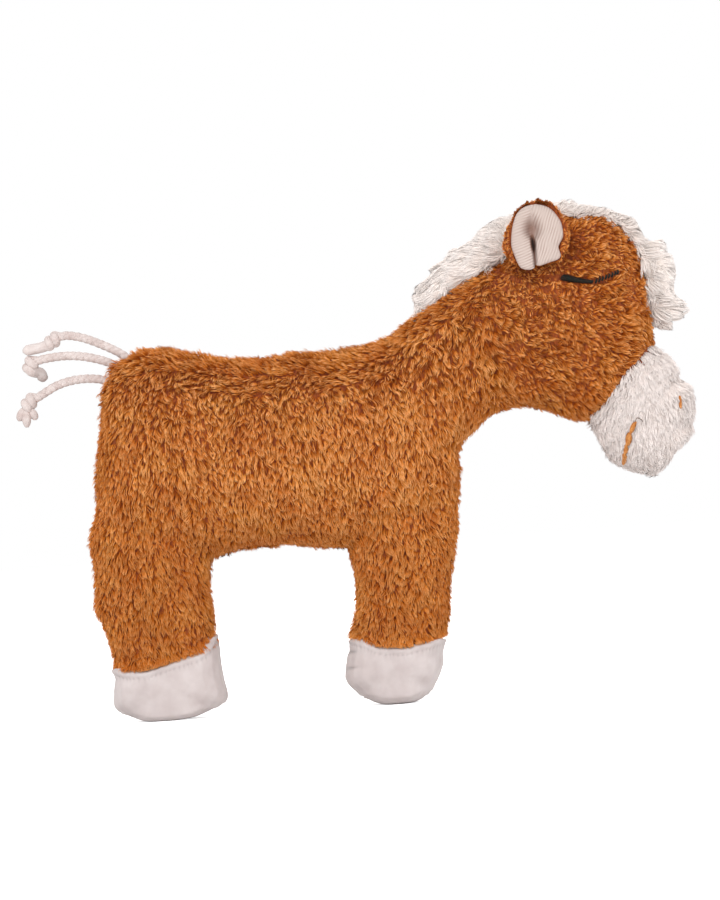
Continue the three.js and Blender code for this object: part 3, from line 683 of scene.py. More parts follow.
# Where the filling swells the outline or lets it in: X, Z, how far round there, and by how much, all in mm.
SWELLS = (
    (-24.0, 48.5, 9.0, 1.5), (42.4, 84.9, 12.0, 1.4), (-70.5, 112.3, 7.0, 1.2), (-26.1, 107.3, 7.0, 0.9),
    (18.9, 55.0, 6.0, 0.7), (-92.1, 33.9, 4.5, 1.0), (-92.1, 55.5, 5.0, 0.8), (-86.4, 100.2, 4.0, 0.8),
    (22.2, 75.9, 5.0, -0.8), (-15.8, 24.4, 4.0, 1.0), (33.3, 84.1, 6.0, 1.3), (54.9, 81.3, 7.0, 1.4),
    (-16.0, 47.6, 6.0, 0.5), (-43.2, 107.9, 12.0, -0.5), (-11.6, 108.4, 9.0, -0.8), (28.5, 80.5, 4.0, 0.9),
    (0.0, 110.5, 7.0, -0.3), (-63.3, 112.1, 5.0, -0.4), (-93.0, 33.9, 5.0, 0.5), (-56.5, 31.3, 7.0, 0.5),
    (15.6, 35.1, 5.0, -0.5), (13.9, 23.2, 5.0, 0.1), (19.2, 55.0, 8.0, 0.3),
)


def body_skin():
    """The backing cloth as one closed mesh that reaches a little way into the hooves and the muzzle."""
    solids = [node_bmesh(name, 0.35 * MM) for name in BODY_NODES + LEG_NODES]
    for name in HOOVES:
        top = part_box(name)[1].z
        solids.append(clipped(node_bmesh(name, 0.2 * MM), (0, 0, top - 2 * TUCK), (0, 0, -1)))
    low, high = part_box("muzzle")
    middle = ((low.x + high.x) / 2, 0, (low.z + high.z) / 2)
    solids.append(clipped(node_bmesh("muzzle", 0.2 * MM), middle, (0.72, 0, -0.69)))
    mesh = fused(solids, 1.1 * MM, 9)
    points, normals = points_of(mesh), normals_of(mesh)
    push = MM * spots(SWELLS, points) - PILE_DEPTH - SEAM_GROOVE * bell(points[:, 1] / (1.1 * MM))
    points += normals * push[:, None]
    # The wool stays under the cloth.
    for side, _ in SIDES:
        rump = rising(-points[:, 0], 0.070, 0.078) * rising(points[:, 2], 0.080, 0.090)
        most = 0.5 * MM + 0.7 * MM * np.maximum(rising(np.abs(points[:, 1]), 3 * MM, 6 * MM), rump)
        sunk = np.clip(depth_in("torso_filling_" + side, points) + 0.2 * MM, 0, most)
        points += normals * sunk[:, None]
    set_points(mesh, points)
    return mesh


def half_of(mesh, sign):
    """One side's panel, closed along the centre seam."""
    bm = bmesh.new()
    bm.from_mesh(mesh)
    geometry = bm.verts[:] + bm.edges[:] + bm.faces[:]
    inwards, edge = (0, -sign, 0), (0, sign * 0.01 * MM, 0)
    bmesh.ops.bisect_plane(bm, geom=geometry, plane_co=edge, plane_no=inwards, clear_outer=True)
    rim = [e for e in bm.edges if e.is_boundary]
    bmesh.ops.triangle_fill(bm, edges=rim, use_beauty=True, normal=inwards)
    bmesh.ops.recalc_face_normals(bm, faces=bm.faces)
    made = bpy.data.meshes.new("half")
    bm.to_mesh(made)
    bm.free()
    return made


HEAD_FROM, HEAD_TO = 0.022, 0.050  # X over which the lie of the pile turns from the body's to the head's


def lie_of_pile(points, normals):
    """The way the brown pile lies: down the sides, forward and down on the head, back along the back."""
    x, _, z = points.T
    head = (rising(x, HEAD_FROM, HEAD_TO) * rising(z, 0.07, 0.095))[:, None]
    towards = (1 - head) * np.array([0.08, 0, -1.0]) + head * np.array([0.95, 0, -0.55])
    top = rising(normals[:, 2], 0.35, 0.85)[:, None]
    along_top = np.array([-0.9, 0, -0.2]) * (1 - head) + head * np.array([1.0, 0, 0])
    towards = towards * (1 - top) + top * along_top
    upper = rising(z, 0.080, 0.100)
    brow = upper * rising(z, 0.108, 0.116)
    turn = (0.12 + 0.12 * upper) * waves(points, 19 * MM, 3)
    turn += (0.14 + 0.2 * upper + 0.25 * brow) * waves(points, 4.5 * MM, 4)
    curly = 0.18 + 0.12 * upper + 0.3 * brow
    return combed(normals, towards, turn + curly * waves(points, 1.8 * MM, 7))


def form_of_pile(roots, normals):
    """Each brown strand's length and rise, its pull to its lock, the strength of the painted shade in its
    lock's parting, and its painted light and shade.
    """
    x, _, z = roots.T
    facing = np.abs(normals[:, 1])
    edge, outermost = 1 - rising(facing, 0.1, 0.5), 1 - rising(facing, 0.0, 0.3)
    over_hoof = bell(np.clip(z - hoof_edge(x), 0, None) / (2.6 * MM))
    patch = waves(roots, 9 * MM, 5)
    on_head = rising(x, 0.030, 0.045) * rising(z, 0.07, 0.09)
    length = STRAND_LENGTH * (1 + 0.15 * patch) * (1 - 0.35 * over_hoof)
    length *= 1 - 0.3 * edge * (1 - over_hoof)
    length *= 1 - (0.2 + 0.15 * rising(z, 0.108, 0.116)) * on_head
    length = np.minimum(length, 1.7 * MM + 1.1 * np.clip(-past_seam(roots), 0, None))
    ruffled = rising(z, 0.088, 0.104) * (1 - rising(x, 0.0, 0.02))
    tufts = 0.35 * np.clip(waves(roots, 1.8 * MM, 8), -1, 1.5) * edge
    rise = PILE_DEPTH * (1.02 + 0.25 * patch + tufts + 0.3 * ruffled)
    rise += 1.3 * MM * over_hoof * (1 - 0.45 * outermost)
    flank, back = rising(z, 0.045, 0.070), rising(z, 0.088, 0.096)
    parting_shade = 0.15 + 0.5 * flank + 0.45 * rising(z, 0.084, 0.100)
    gaps = gaps_in_pile(roots) * (0.25 + 0.75 * flank + 0.5 * back) * (1 - over_hoof) * (1 - 0.7 * edge)
    blotches = 0.3 * rising(waves(roots, 3.5 * MM, 18), 0.2, 1.0) * back
    # Painted shade and light from the table of spots and in the gaps between tufts, with random darker
    # blotches along the back.
    light = (1 - spots(PAINTED_SHADE_AND_LIGHT, roots)) * (1 - 0.5 * gaps) * (1 - blotches)
    return length, rise * (1 - 0.45 * gaps), (0.5 - 0.4 * over_hoof)[:, None, None], parting_shade, light


def make_body(finish):
    """Makes the brown body, and gives the places on it that the muzzle's pale pile covers."""
    mesh = body_skin()
    for side, sign in SIDES:
        nodes = ("torso_panel_" + side, "neck", "head") + LEG_NODES
        panel = half_of(mesh, sign)
        piece("body_panel_" + side, panel, finish["backing"], "body", "brown_plush", *nodes, fill=0.85)
    roots, normals = scattered(mesh, STRANDS_PER_MM2, 11)
    more, more_normals = scattered(mesh, STRANDS_PER_MM2, 14)
    low = more[:, 2] < hoof_edge(more[:, 0]) + 3.5 * MM
    roots, normals = part_the_pile(np.vstack([roots, more[low]]), np.vstack([normals, more_normals[low]]))
    lies = lie_of_pile(roots, normals)
    length, rise, pull, parting_shade, light = form_of_pile(roots, normals)
    form = (length, rise, 0.18 * MM, pull)
    lines, shade = pile(roots, normals, lies, LOCK_SPACING, *form, 12, parting_shade=parting_shade)
    lines = clipped_at_muzzle(clipped_at_hooves(lines, roots), roots)
    clear = off_the_trims(lines, roots)
    roots, normals, lines, shade = roots[clear], normals[clear], lines[clear], (shade * light)[clear]
    names = np.array([fleece_name(p) for p in roots])
    rest = (finish["brown pile"], "body", "brown_plush")
    for name in sorted(set(names)):
        mine = np.flatnonzero(names == name)
        mine = mine[np.argsort(roots[mine, 0])]
        make_coats(name, mine, MOST_STRANDS, lines, normals, STRAND_RADIUS, shade, 0.55, *rest)
    points, normals = scattered(mesh, FINE_STRANDS_PER_MM2, 13)
    band = (past_seam(points) > -0.2 * MM) & (points[:, 2] > 0.06)
    band[band] = depth_in("muzzle", points[band]) < 1.8 * MM
    band &= ~((normals[:, 0] < -0.3) & (points[:, 2] < 0.075))
    return points[band], normals[band]


# Height of the lower edge of the brown pile over each hoof, from back to front.
HOOF_EDGES = (
    (-0.0920, 0.0172), (-0.0875, 0.0166), (-0.0839, 0.0153), (-0.0778, 0.0151), (-0.0734, 0.0163),
    (-0.0687, 0.0175), (-0.0614, 0.0192), (-0.0591, 0.0205), (-0.0574, 0.0225), (-0.0560, 0.0252),
    (-0.0158, 0.0206), (-0.0118, 0.0191), (-0.0092, 0.0177), (-0.0066, 0.0171), (0.0001, 0.0165),
    (0.0042, 0.0174), (0.0083, 0.0179), (0.0119, 0.0191), (0.0180, 0.0200),
)


def hoof_edge(x):
    return np.interp(x, *zip(*HOOF_EDGES))


def clipped_at_hooves(lines, roots):
    """Strands near a hoof made longer or shorter, so that they end together along its edge."""
    rng = np.random.default_rng(15)
    reach = roots[:, 2] - (hoof_edge(roots[:, 0]) + rng.normal(0, 0.17 * MM, len(roots)))
    falls = np.maximum(roots[:, 2] - lines[:, -1, 2], 0.3 * MM)
    share = np.where(reach < 1.35 * falls, reach / falls, 1.0)
    return drawn_out(lines, roots, np.clip(share, 0.3, 1.35)[:, None, None])


# The seam between head and muzzle: X + Z along it, and X - Z across it.
MUZZLE_SEAM = (
    (0.1402, -0.0200), (0.1443, -0.0214), (0.1498, -0.0208), (0.1551, -0.0213), (0.1619, -0.0226),
    (0.1672, -0.0230), (0.1733, -0.0224), (0.1774, -0.0230), (0.1801, -0.0226), (0.1841, -0.0201),
)


def past_seam(points):
    """How far each point lies past the muzzle's seam: above 0 on the muzzle, well below 0 off the head."""
    x, _, z = points.T
    return np.where(x > 0.05, (x - z - np.interp(x + z, *zip(*MUZZLE_SEAM))) / math.sqrt(2), -0.05)


def clipped_at_muzzle(lines, roots):
    """Strands that would lie over the muzzle made shorter, so that they end along its seam."""
    start, end = past_seam(roots), past_seam(lines[:, -1])
    reach = np.random.default_rng(19).normal(0.35 * MM, 0.12 * MM, len(roots)) - start
    over = (end - start > reach) & (start > -6 * MM)
    share = np.where(over, reach / np.maximum(end - start, 0.2 * MM), 1.0)
    return drawn_out(lines, roots, np.clip(share, 0.25, 1)[:, None, None])


# Painted shade and light on the brown pile, darker and redder where shade falls: on the legs, under the
# head, round the ears and the eye, in the furrow at the rump and in dashes along the back; lighter, below
# 0, over the middle of the body, where the light falls fullest. X, Z, how far round there, all in mm, and
# how much darker.
PAINTED_SHADE_AND_LIGHT = (
    (-74.0, 38.0, 20.0, 0.09), (-74.0, 18.0, 12.0, 0.04), (2.0, 30.0, 16.0, 0.05), (0.0, 18.0, 10.0, 0.03),
    (54.0, 100.0, 20.0, 0.10), (-38.0, 72.0, 26.0, -0.12), (4.0, 78.0, 20.0, -0.13),
    (70.0, 112.0, 10.0, 0.05), (-66.0, 103.0, 9.0, 0.05), (-40.0, 99.0, 12.0, 0.08),
    (-20.0, 98.0, 9.0, 0.06), (0.0, 101.0, 8.0, 0.04), (58.5, 131.5, 4.0, 0.25), (40.0, 126.0, 5.0, 0.22),
    (28.0, 117.0, 7.0, 0.12), (66.0, 119.0, 5.0, 0.14), (-89.0, 84.0, 5.0, 0.12), (58.0, 137.0, 3.5, 0.15),
    (62.0, 126.0, 5.0, 0.12), (34.0, 128.0, 4.0, 0.15), (-82.0, 85.0, 1.6, 0.25), (-83.4, 81.5, 1.6, 0.25),
    (-84.8, 78.0, 1.6, 0.25), (-86.0, 74.5, 1.6, 0.22), (-87.2, 71.0, 1.6, 0.2), (-56.0, 105.0, 2.5, 0.18),
    (-47.0, 103.0, 2.0, 0.2), (-35.0, 104.0, 2.2, 0.22), (-28.0, 101.0, 2.0, 0.2),
    (-22.0, 104.0, 2.0, 0.22), (-14.0, 100.5, 2.0, 0.18), (-40.0, 94.0, 2.5, 0.16),
)


def gaps_in_pile(points):
    """Short gaps between tufts, from 0 to 1, where the pile lies lower and is painted darker with shade:
    upright on the sides, lengthwise along the back.
    """
    upright = waves(points * [1, 1, 0.45], 1.3 * MM, 16)
    lengthwise = waves(points * [0.45, 1, 1], 1.4 * MM, 17)
    return rising(np.where(points[:, 2] > 0.093, lengthwise, upright), 0.6, 1.2)


def near_the_eye(points, wide, high):
    return np.flatnonzero((np.abs(points[:, [0, 2]] - EYE_CENTRE) < [wide, high]).all(1))


def off_the_eye(places):
    """How far places are from the edge of the eye's stitches, seen from the side: below 0 on them."""
    eye = smooth_path(EYE, 40)
    gaps = np.hypot(places[..., None, 0] - eye[:, 0], places[..., None, 2] - eye[:, 2])
    return (gaps - eye_widths(np.linspace(0, 1, 40)) / 2).min(-1)


def off_the_cords(lines):
    """How far the upper half of each strand stays from the tail's cords, wherever they swing."""
    clear = np.full(len(lines), 1.0)
    for cord in CORDS.values():
        root = cord["exit"]
        path = smooth_path(cord["route"], CORD_POINTS)[:24] - root
        near = np.flatnonzero(np.abs(lines[:, -1] - root).max(1) < 12 * MM)
        tips = lines[near][:, -2:] - root
        for turn in np.radians(np.arange(-CORD_SWING, CORD_SWING + 1, 5)):
            c, s = math.cos(turn), math.sin(turn)
            swung = path @ np.array([[c, s, 0], [-s, c, 0], [0, 0, 1]])
            gap = np.linalg.norm(tips[:, :, None] - swung[None, None], axis=-1).min((1, 2))
            clear[near] = np.minimum(clear[near], gap - 0.55 * CORD_DIAMETER)
    return clear


def part_the_pile(roots, normals):
    """Keeps the pile off the hooves, the other trims and the eye, and thins it along the centre seam."""
    rng = np.random.default_rng(6)
    keep = (roots[:, 2] > hoof_edge(roots[:, 0]) + 1.1 * MM) & (past_seam(roots) < -0.2 * MM)
    for name in HAIR:
        keep &= depth_in(name, roots + normals * 0.3 * MM) < 0.6 * MM
    near = near_the_eye(roots, 12 * MM, 6 * MM)
    keep[near] &= off_the_eye(roots[near]) > 0
    seam = np.abs(roots[:, 1]) < 0.5 * MM
    keep &= ~(seam & (rng.random(len(roots)) < 0.4))
    return roots[keep], normals[keep]


def off_the_trims(lines, roots):
    """Whether each brown strand stays off the muzzle, the eye, the mane and the swinging cords."""
    clear = past_seam(lines[:, -1]) < 1.5 * MM
    near = near_the_eye(roots, 14 * MM, 8 * MM)
    clear[near] &= off_the_eye(lines[near, 2:]).min(1) > 0.1 * MM
    for name in HAIR:
        clear &= depth_in(name, lines[:, -1]) < 1.6 * MM
    return clear & (off_the_cords(lines) > 0)


def fleece_name(point):
    """The part of the body that a strand grows on."""
    x, y, z = point
    side = "right" if y < 0 else "left"
    if z < 0.047:
        return "pile_hind_leg" if x < -0.02 else "pile_front_leg"
    if x > 0.036:
        return "pile_head_" + side
    return ("pile_neck_" if x > 0.008 and z > 0.095 else "pile_torso_") + side


def finish_inner_nodes(finish):
    """The pieces inside the toy keep their own solids and get their materials."""
    looks = {
        "torso_filling": "wool", "rattle_cup": "capsule", "rattle_lid": "capsule", "rattle_bead": "bead",
    }
    for name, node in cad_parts.items():
        for start, look in looks.items():
            if name.startswith(start):
                node.data.materials.clear()
                node.data.materials.append(finish[look])


# Hooves: woven cotton, gathered a little under a hem that the pile overhangs.
HOOVES = {
    "hind_hoof": {
        "centre": (-0.0715, 0.0105),
        "folds": [],
        "outline": [
            (-0.0875, 0.0173), (-0.0878, 0.0127), (-0.0882, 0.0079), (-0.0882, 0.0048), (-0.0863, 0.0031),
            (-0.0831, 0.0013), (-0.0789, 0.0001), (-0.0758, 0.0), (-0.0700, 0.0), (-0.0654, 0.0003),
            (-0.0607, 0.0014), (-0.0575, 0.0026), (-0.0548, 0.0041), (-0.0543, 0.0060), (-0.0545, 0.0088),
            (-0.0553, 0.0129), (-0.0556, 0.0206),
        ],
    },
    "front_hoof": {
        "centre": (-0.0033, 0.0105),
        "folds": [(-0.0165, 0.0165, 1.6 * MM), (-0.0168, 0.0118, 2.0 * MM)],
        "outline": [
            (-0.0158, 0.0206), (-0.0172, 0.0164), (-0.0181, 0.0122), (-0.0184, 0.0095), (-0.0180, 0.0073),
            (-0.0165, 0.0055), (-0.0143, 0.0032), (-0.0117, 0.0015), (-0.0091, 0.0005), (-0.0064, 0.0),
            (-0.0011, 0.0), (0.0030, 0.0006), (0.0064, 0.0029), (0.0085, 0.0057), (0.0100, 0.0085),
            (0.0109, 0.0112), (0.0115, 0.0159), (0.0118, 0.0189),
        ],
    },
}


def make_hooves(finish):
    for name, look in HOOVES.items():
        middle = look["centre"][0]
        mesh = fused([node_bmesh(name)], 0.45 * MM, 8)
        for times in (4, 3, 2, 1):
            set_points(mesh, fitted(points_of(mesh), look["centre"], look["outline"]))
            eased(mesh, times)
        points = fitted(points_of(mesh), look["centre"], look["outline"])
        points[:, 2] = np.maximum(points[:, 2], 0)
        # The hind hoof's front corner stands up, and the cloth above the edge is tucked into the leg.
        front = rising(points[:, 0], -0.066, -0.056) * (points[:, 0] < -0.03)
        points[:, 2] += 3.2 * MM * front * rising(points[:, 2], 0.012, 0.022)
        inwards = -unit((points - [middle, 0, 0]) * [1, 1, 0] / [17 * MM, 13.5 * MM, 1])
        above = rising(points[:, 2] - hoof_edge(points[:, 0]), -0.4 * MM, 1.0 * MM)
        tuck = 2.4 * MM + 0.9 * MM * rising(-points[:, 0], 0.079, 0.083)
        points += inwards * (above * tuck)[:, None]
        set_points(mesh, points)
        normals = normals_of(mesh)
        x, y, z = points.T
        below = (hoof_edge(x) - z) / MM
        out = np.abs(normals[:, 2]) < 0.8
        gather = 0.5 + 0.5 * np.sin(np.arctan2(y, x - middle) * 62 + 2 * waves(points, 6 * MM, 20))
        line, pucker = bell((below - 1.9) / 0.32), bell((below - 2.3) / 0.9)
        form = 0.22 * bell((below - 0.8) / 0.7) + 0.25 * bell(y / (0.4 * MM))  # the hem and the seam
        form -= 0.22 * (0.4 + 0.6 * gather) * line + 0.12 * gather**3 * pucker
        folds = np.zeros(len(points))
        for at_x, at_z, reach in look["folds"]:
            folds += bell((z - at_z - 0.12 * (x - at_x)) / (0.4 * MM), (x - at_x) / reach)
        push = MM * (out * (form - 0.2 * folds) + 0.07 * waves(points, 10 * MM, 22))
        set_points(mesh, points + normals * (push * rising(z, 0.2 * MM, 2.5 * MM))[:, None])
        # Painted shade in the gathered line of stitches, in the puckers and in the folds.
        stitch = 0.35 * line * gather + 0.15 * pucker * gather**4 + 0.8 * folds
        paint(mesh, "stitch", np.clip(stitch, 0, 1) * out)
        piece(name + "_cloth", mesh, finish["calico"], "body", "hoof_cotton", name, fill=0.9)


# Muzzle: short off-white pile over a rounded pad.
MUZZLE_CENTRE = (0.0765, 0.0815)
MUZZLE_OUTLINE = [
    (0.0828, 0.0996), (0.0860, 0.0969), (0.0866, 0.0935), (0.0874, 0.0912), (0.0900, 0.0896),
    (0.0911, 0.0873), (0.0914, 0.0845), (0.0912, 0.0793), (0.0901, 0.0750), (0.0882, 0.0723),
    (0.0857, 0.0702), (0.0838, 0.0680), (0.0819, 0.0656), (0.0796, 0.0639), (0.0770, 0.0634),
    (0.0741, 0.0639), (0.0703, 0.0654), (0.0652, 0.0687), (0.0634, 0.0730), (0.0620, 0.0767),
]


def make_muzzle(finish, band, band_normals):
    depth = 0.8 * MM
    mesh = fused([node_bmesh("muzzle")], 0.8 * MM, 5)
    points = points_of(mesh)
    for _ in range(2):
        points = fitted(points, MUZZLE_CENTRE, MUZZLE_OUTLINE)
    set_points(mesh, points)
    shrink = depth * rising(-depth_in("head", points_of(mesh)), -0.5 * MM, 1.5 * MM)
    set_points(mesh, points_of(mesh) - normals_of(mesh) * shrink[:, None])
    piece("muzzle_pad", mesh, finish["pale backing"], "body", "muzzle_plush", "muzzle", fill=0.85)
    roots, normals = scattered(mesh, FINE_STRANDS_PER_MM2, 31)
    free = (depth_in("head", roots) < 0.9 * MM) & (past_seam(roots) > -0.1 * MM)
    for side, _ in SIDES:
        for stitch in STITCHES:
            free &= depth_in(stitch + "_" + side, roots + normals * depth) < -0.1 * MM
    count = free.sum()
    roots, normals = np.vstack([roots[free], band]), np.vstack([normals[free], band_normals])
    lean = np.clip((roots[:, 0] - MUZZLE_CENTRE[0]) / (14 * MM), -1, 1)
    towards = np.stack([0.55 * lean, 0 * lean, -1 + 0 * lean], 1)
    lies = combed(normals, towards, 0.14 * waves(roots, 7 * MM, 32))
    edge = 1 - rising(np.abs(normals[:, 1]), 0.15, 0.6)
    rise = (1.0 + 0.35 * edge * (1 + 1.4 * waves(roots, 1.5 * MM, 34))) * MM
    rise[count:] += 0.7 * MM
    length = 3.0 * MM * (0.8 + 0.2 * rising(past_seam(roots), 0.0, 2.5 * MM))
    lines, shade = pile(roots, normals, lies, 0.9 * MM, length, rise, 0.1 * MM, 0.5, 33, stray=0.12)
    # Painted shade: the muzzle's pile darker towards the bottom, where the muzzle turns under.
    shade = (1 + (shade - 1) * 0.5) * (0.9 + 0.1 * rising(roots[:, 2], 0.064, 0.080))
    ups = to_the_side(normals, roots, 0.4)
    rest = (finish["muzzle pile"], "body", "muzzle_plush")
    for side, sign in SIDES:
        mine = np.flatnonzero(roots[:, 1] * sign > 0)
        make_coats("muzzle_pile_" + side, mine, MOST_STRANDS, lines, ups, 0.12 * MM, shade, 0.65, *rest)


# Mane and forelock: long pointed locks on a strip let into the centre seam, trimmed to one outline.
HAIR = {"mane_crest": 41, "forelock": 45}  # with the seed of each
HAIR_CENTRE = (0.0500, 0.1120)
MOST_HAIRS = 9000
HAIR_OUTLINE = [(x * MM, z * MM) for x, z in (
    (20.0, 100.0), (6.9, 113.6), (9.3, 116.2), (9.9, 118.9), (9.0, 121.1), (10.1, 124.1), (13.1, 125.9),
    (15.7, 127.5), (14.4, 129.3), (19.4, 131.4), (19.7, 132.7), (20.6, 134.0), (27.4, 136.3), (29.2, 138.2),
    (30.7, 139.9), (33.6, 141.7), (37.2, 143.5), (40.7, 143.8), (44.0, 146.0), (50.0, 147.2), (55.4, 146.7),
    (57.7, 147.6), (58.4, 146.1), (59.9, 147.3), (61.2, 145.6), (63.5, 144.4), (64.6, 145.2), (66.9, 144.2),
    (69.0, 144.4), (71.7, 142.8), (74.3, 141.6), (78.0, 140.2), (79.2, 137.1), (80.7, 133.5), (83.4, 132.6),
    (86.2, 133.3), (87.1, 131.3), (86.4, 129.6), (88.9, 128.2), (88.9, 125.3), (89.3, 122.2), (87.9, 118.5),
    (87.8, 115.7), (93.8, 112.9), (93.2, 111.2), (90.4, 111.0), (90.8, 109.1), (87.3, 108.8), (87.1, 105.6),
    (83.8, 105.6), (81.8, 106.5), (70.0, 100.0), (20.0, 100.0),
)]


def make_mane(finish):
    centre = np.insert(HAIR_CENTRE, 1, 0)
    for name, seed in HAIR.items():
        mesh = fused([node_bmesh(name)], 0.8 * MM, 5)
        points = points_of(mesh)
        held = np.minimum(-depth_in("head", points), -depth_in("neck", points))
        points -= normals_of(mesh) * (1.2 * MM * rising(held, 0.0, 3 * MM))[:, None]
        inner = points.copy()
        for share in np.arange(0.985, 0.7, -0.015):
            out = ~within(centre + (inner - centre) * 1.05, HAIR_OUTLINE)
            inner[out] = centre + (points[out] - centre) * [share, 1, share]
        set_points(mesh, inner)
        eased(mesh, 2)
        piece(name + "_strip", mesh, finish["pale backing"], "body", "mane_plush", name, fill=0.4)
        roots, normals = scattered(mesh, FINE_STRANDS_PER_MM2, seed)
        free = (depth_in("head", roots) < 1.2 * MM) & (depth_in("neck", roots) < 1.2 * MM)
        roots, normals = roots[free], normals[free]
        lies = lie_of_mane(name, roots, normals)
        edge = 1 - rising(np.abs(normals[:, 1]), 0.1, 0.6)
        length = 6.0 * MM * (1 + 0.2 * waves(roots, 7 * MM, seed + 2)) * (1 - 0.2 * edge)
        rise = (1.1 + 1.3 * edge * (1 + 0.5 * waves(roots, 4 * MM, seed + 4))) * MM
        form = (2.0 * MM, length, rise, 0.15 * MM, 0.55)
        lines, shade = pile(roots, normals, lies, *form, seed + 3, steps=5, stray=0.2, parting_shade=0.1)
        lines = trimmed(lines, roots, HAIR_OUTLINE)
        shade = 1 + (shade - 1) * 0.15
        order, ups = np.argsort(roots[:, 0]), to_the_side(normals, roots, 1.2)
        rest = (finish["mane pile"], "body", "mane_plush")
        make_coats(name + "_pile", order, MOST_HAIRS, lines, ups, 0.13 * MM, shade, 0.85, *rest)


def lie_of_mane(name, points, normals):
    """The mane lies back along the neck, stands up over the poll and falls forwards as the forelock."""
    x, z = points[:, 0, None], points[:, 2, None]
    if name == "mane_crest":
        share = rising(x, 0.028, 0.045)
        towards = (1 - share) * np.array([-0.9, 0, -0.2]) + share * np.array([-0.35, 0, 0.8])
        share = rising(x, 0.050, 0.059)
        towards = (1 - share) * towards + share * np.array([0.6, 0, 0.5])
    else:
        share = rising(z, 0.125, 0.142)
        towards = (1 - share) * np.array([0.9, 0, -0.35]) + share * np.array([0.75, 0, 0.5])
    outer = 1 - rising(np.abs(normals[:, 1]), 0.2, 0.7)
    turn = 0.22 * waves(points, 8 * MM, 47) + 0.7 * outer * waves(points, 3.5 * MM, 48)
    return combed(normals, towards, turn)


# Ears: a plush back, and a ribbed jersey lining folded into two lobes that meet at a slit.
LINING_OUTLINE = [
    (0.0481, 0.1459), (0.0505, 0.1453), (0.0524, 0.1442), (0.0540, 0.1423), (0.0551, 0.1402),
    (0.0555, 0.1381), (0.0555, 0.1357), (0.0546, 0.1340), (0.0539, 0.1327), (0.0541, 0.1313),
    (0.0543, 0.1299), (0.0534, 0.1289), (0.0513, 0.1283), (0.0492, 0.1277), (0.0478, 0.1274),
    (0.0466, 0.1277), (0.0462, 0.1269), (0.0446, 0.1264), (0.0426, 0.1269), (0.0415, 0.1283),
    (0.0406, 0.1309), (0.0399, 0.1340), (0.0402, 0.1375), (0.0410, 0.1408), (0.0424, 0.1437),
    (0.0449, 0.1454), (0.0481, 0.1459),
]
LINING_CENTRE = (0.0470, 0.1360)
EAR_OUTLINE = [(x * MM, z * MM) for x, z in (
    (36.7, 133.8), (37.6, 136.5), (38.4, 139.2), (40.2, 141.7), (41.2, 144.2), (43.1, 145.9), (45.3, 147.2),
    (47.7, 147.8), (49.8, 147.8), (52.2, 146.9), (54.2, 145.4), (55.6, 143.2), (56.5, 141.1), (57.4, 139.3),
    (58.2, 136.1), (58.2, 129.0), (56.5, 124.0), (38.0, 124.0), (36.2, 128.4), (36.7, 133.8),
)]
EAR_RIM_POINTS = 14  # of the outline, from the root at the back over the top
SLIT_X = 0.0466
RIB_SPACING = 0.8 * MM


def lining_form(x, z, share):
    """How far the lining stands out, how high on a rib each place is, and how much painted shade lies on it
    in the slit, the hollow and the fold.
    """
    across, up = (x - SLIT_X) / MM, (z - 0.1360) / MM
    lobes = 1.5 * bell((across + 3.6) / 3.0, (up + 3.0) / 7.0)
    lobes += 1.7 * bell((across - 4.2) / 3.6, (up + 1.8) / 7.5)
    lobes += 0.6 * bell((up - 8.0) / 2.5)
    width = 0.48 + 1.9 * rising(up, -1.5, 2.5) * (1 - rising(up, 3.0, 8.0))
    deep = 0.4 + 2.6 * (1 - rising(up, 0.5, 8.0))
    right = rising(across, -0.3, 0.3)
    ribs_at = right * (across * 0.9 - up * 0.35) + (1 - right) * (up * 0.95 - across * 0.3)
    flat = np.stack([x, 0 * x, z], 1)
    wave = np.sin(2 * math.pi * MM * (ribs_at + 0.12 * waves(flat, 6 * MM, 57)) / RIB_SPACING)
    rib = 0.5 + 0.5 * wave * (0.6 + 0.4 * waves(flat, 3 * MM, 58))
    rim = np.sqrt(np.clip(1 - share**8, 0, 1))
    height = (lobes - deep * bell(across / width) + 0.12 * rib + 0.6) * rim * MM
    # Painted shade, deepest in the slit, softer in the hollow above it and along the line below it.
    slit = np.exp(-((((across + 0.3) / 0.75) ** 2 + ((up + 1.9) / 2.3) ** 2) ** 1.5))
    hollow = 0.42 * bell((across + 0.4) / 2.3, (up - 2.6) / 3.0)
    line = 0.6 * bell(across / 0.22) * (up < -2)
    return height, rib, np.clip(slit + hollow + line, 0, 1)


def lining_mesh(name, sign):
    """A closed shape with the lining's outline, its front moulded and its back flat on the ear."""
    turns, rings = 240, 56
    outline = smooth_path(LINING_OUTLINE, turns + 1)[:-1, [0, 2]]
    share = np.linspace(0, 1, rings) ** 0.8
    flat = LINING_CENTRE + share[:, None, None] * (outline - LINING_CENTRE)[None]
    x, z = flat[..., 0].ravel(), flat[..., 1].ravel()
    height, rib, fold_shade = lining_form(x, z, np.repeat(share, turns))
    plane = 0.0222 - 0.29 * (z - 0.1300)  # how far out the front of the ear's back stands
    points = [np.stack([x, sign * y, z], 1) for y in (plane + height, plane - MM)]
    count, last = rings * turns, (rings - 1) * turns
    faces = wall(turns, rings)
    faces += [[count + face[i] for i in (0, 3, 2, 1)] for face in faces]
    for k in range(turns):
        a, b = last + k, last + (k + 1) % turns
        faces.append([a, b, count + b, count + a])
    mesh = joined(name, [(np.concatenate(points), faces)])
    paint(mesh, "rib", np.tile(rib, 2))
    paint(mesh, "fold_shade", np.tile(fold_shade, 2))
    bm = bmesh.new()
    bm.from_mesh(mesh)
    bmesh.ops.remove_doubles(bm, verts=bm.verts, dist=1e-7)
    bmesh.ops.recalc_face_normals(bm, faces=bm.faces)
    bm.to_mesh(mesh)
    bm.free()
    mesh.update()
    return mesh


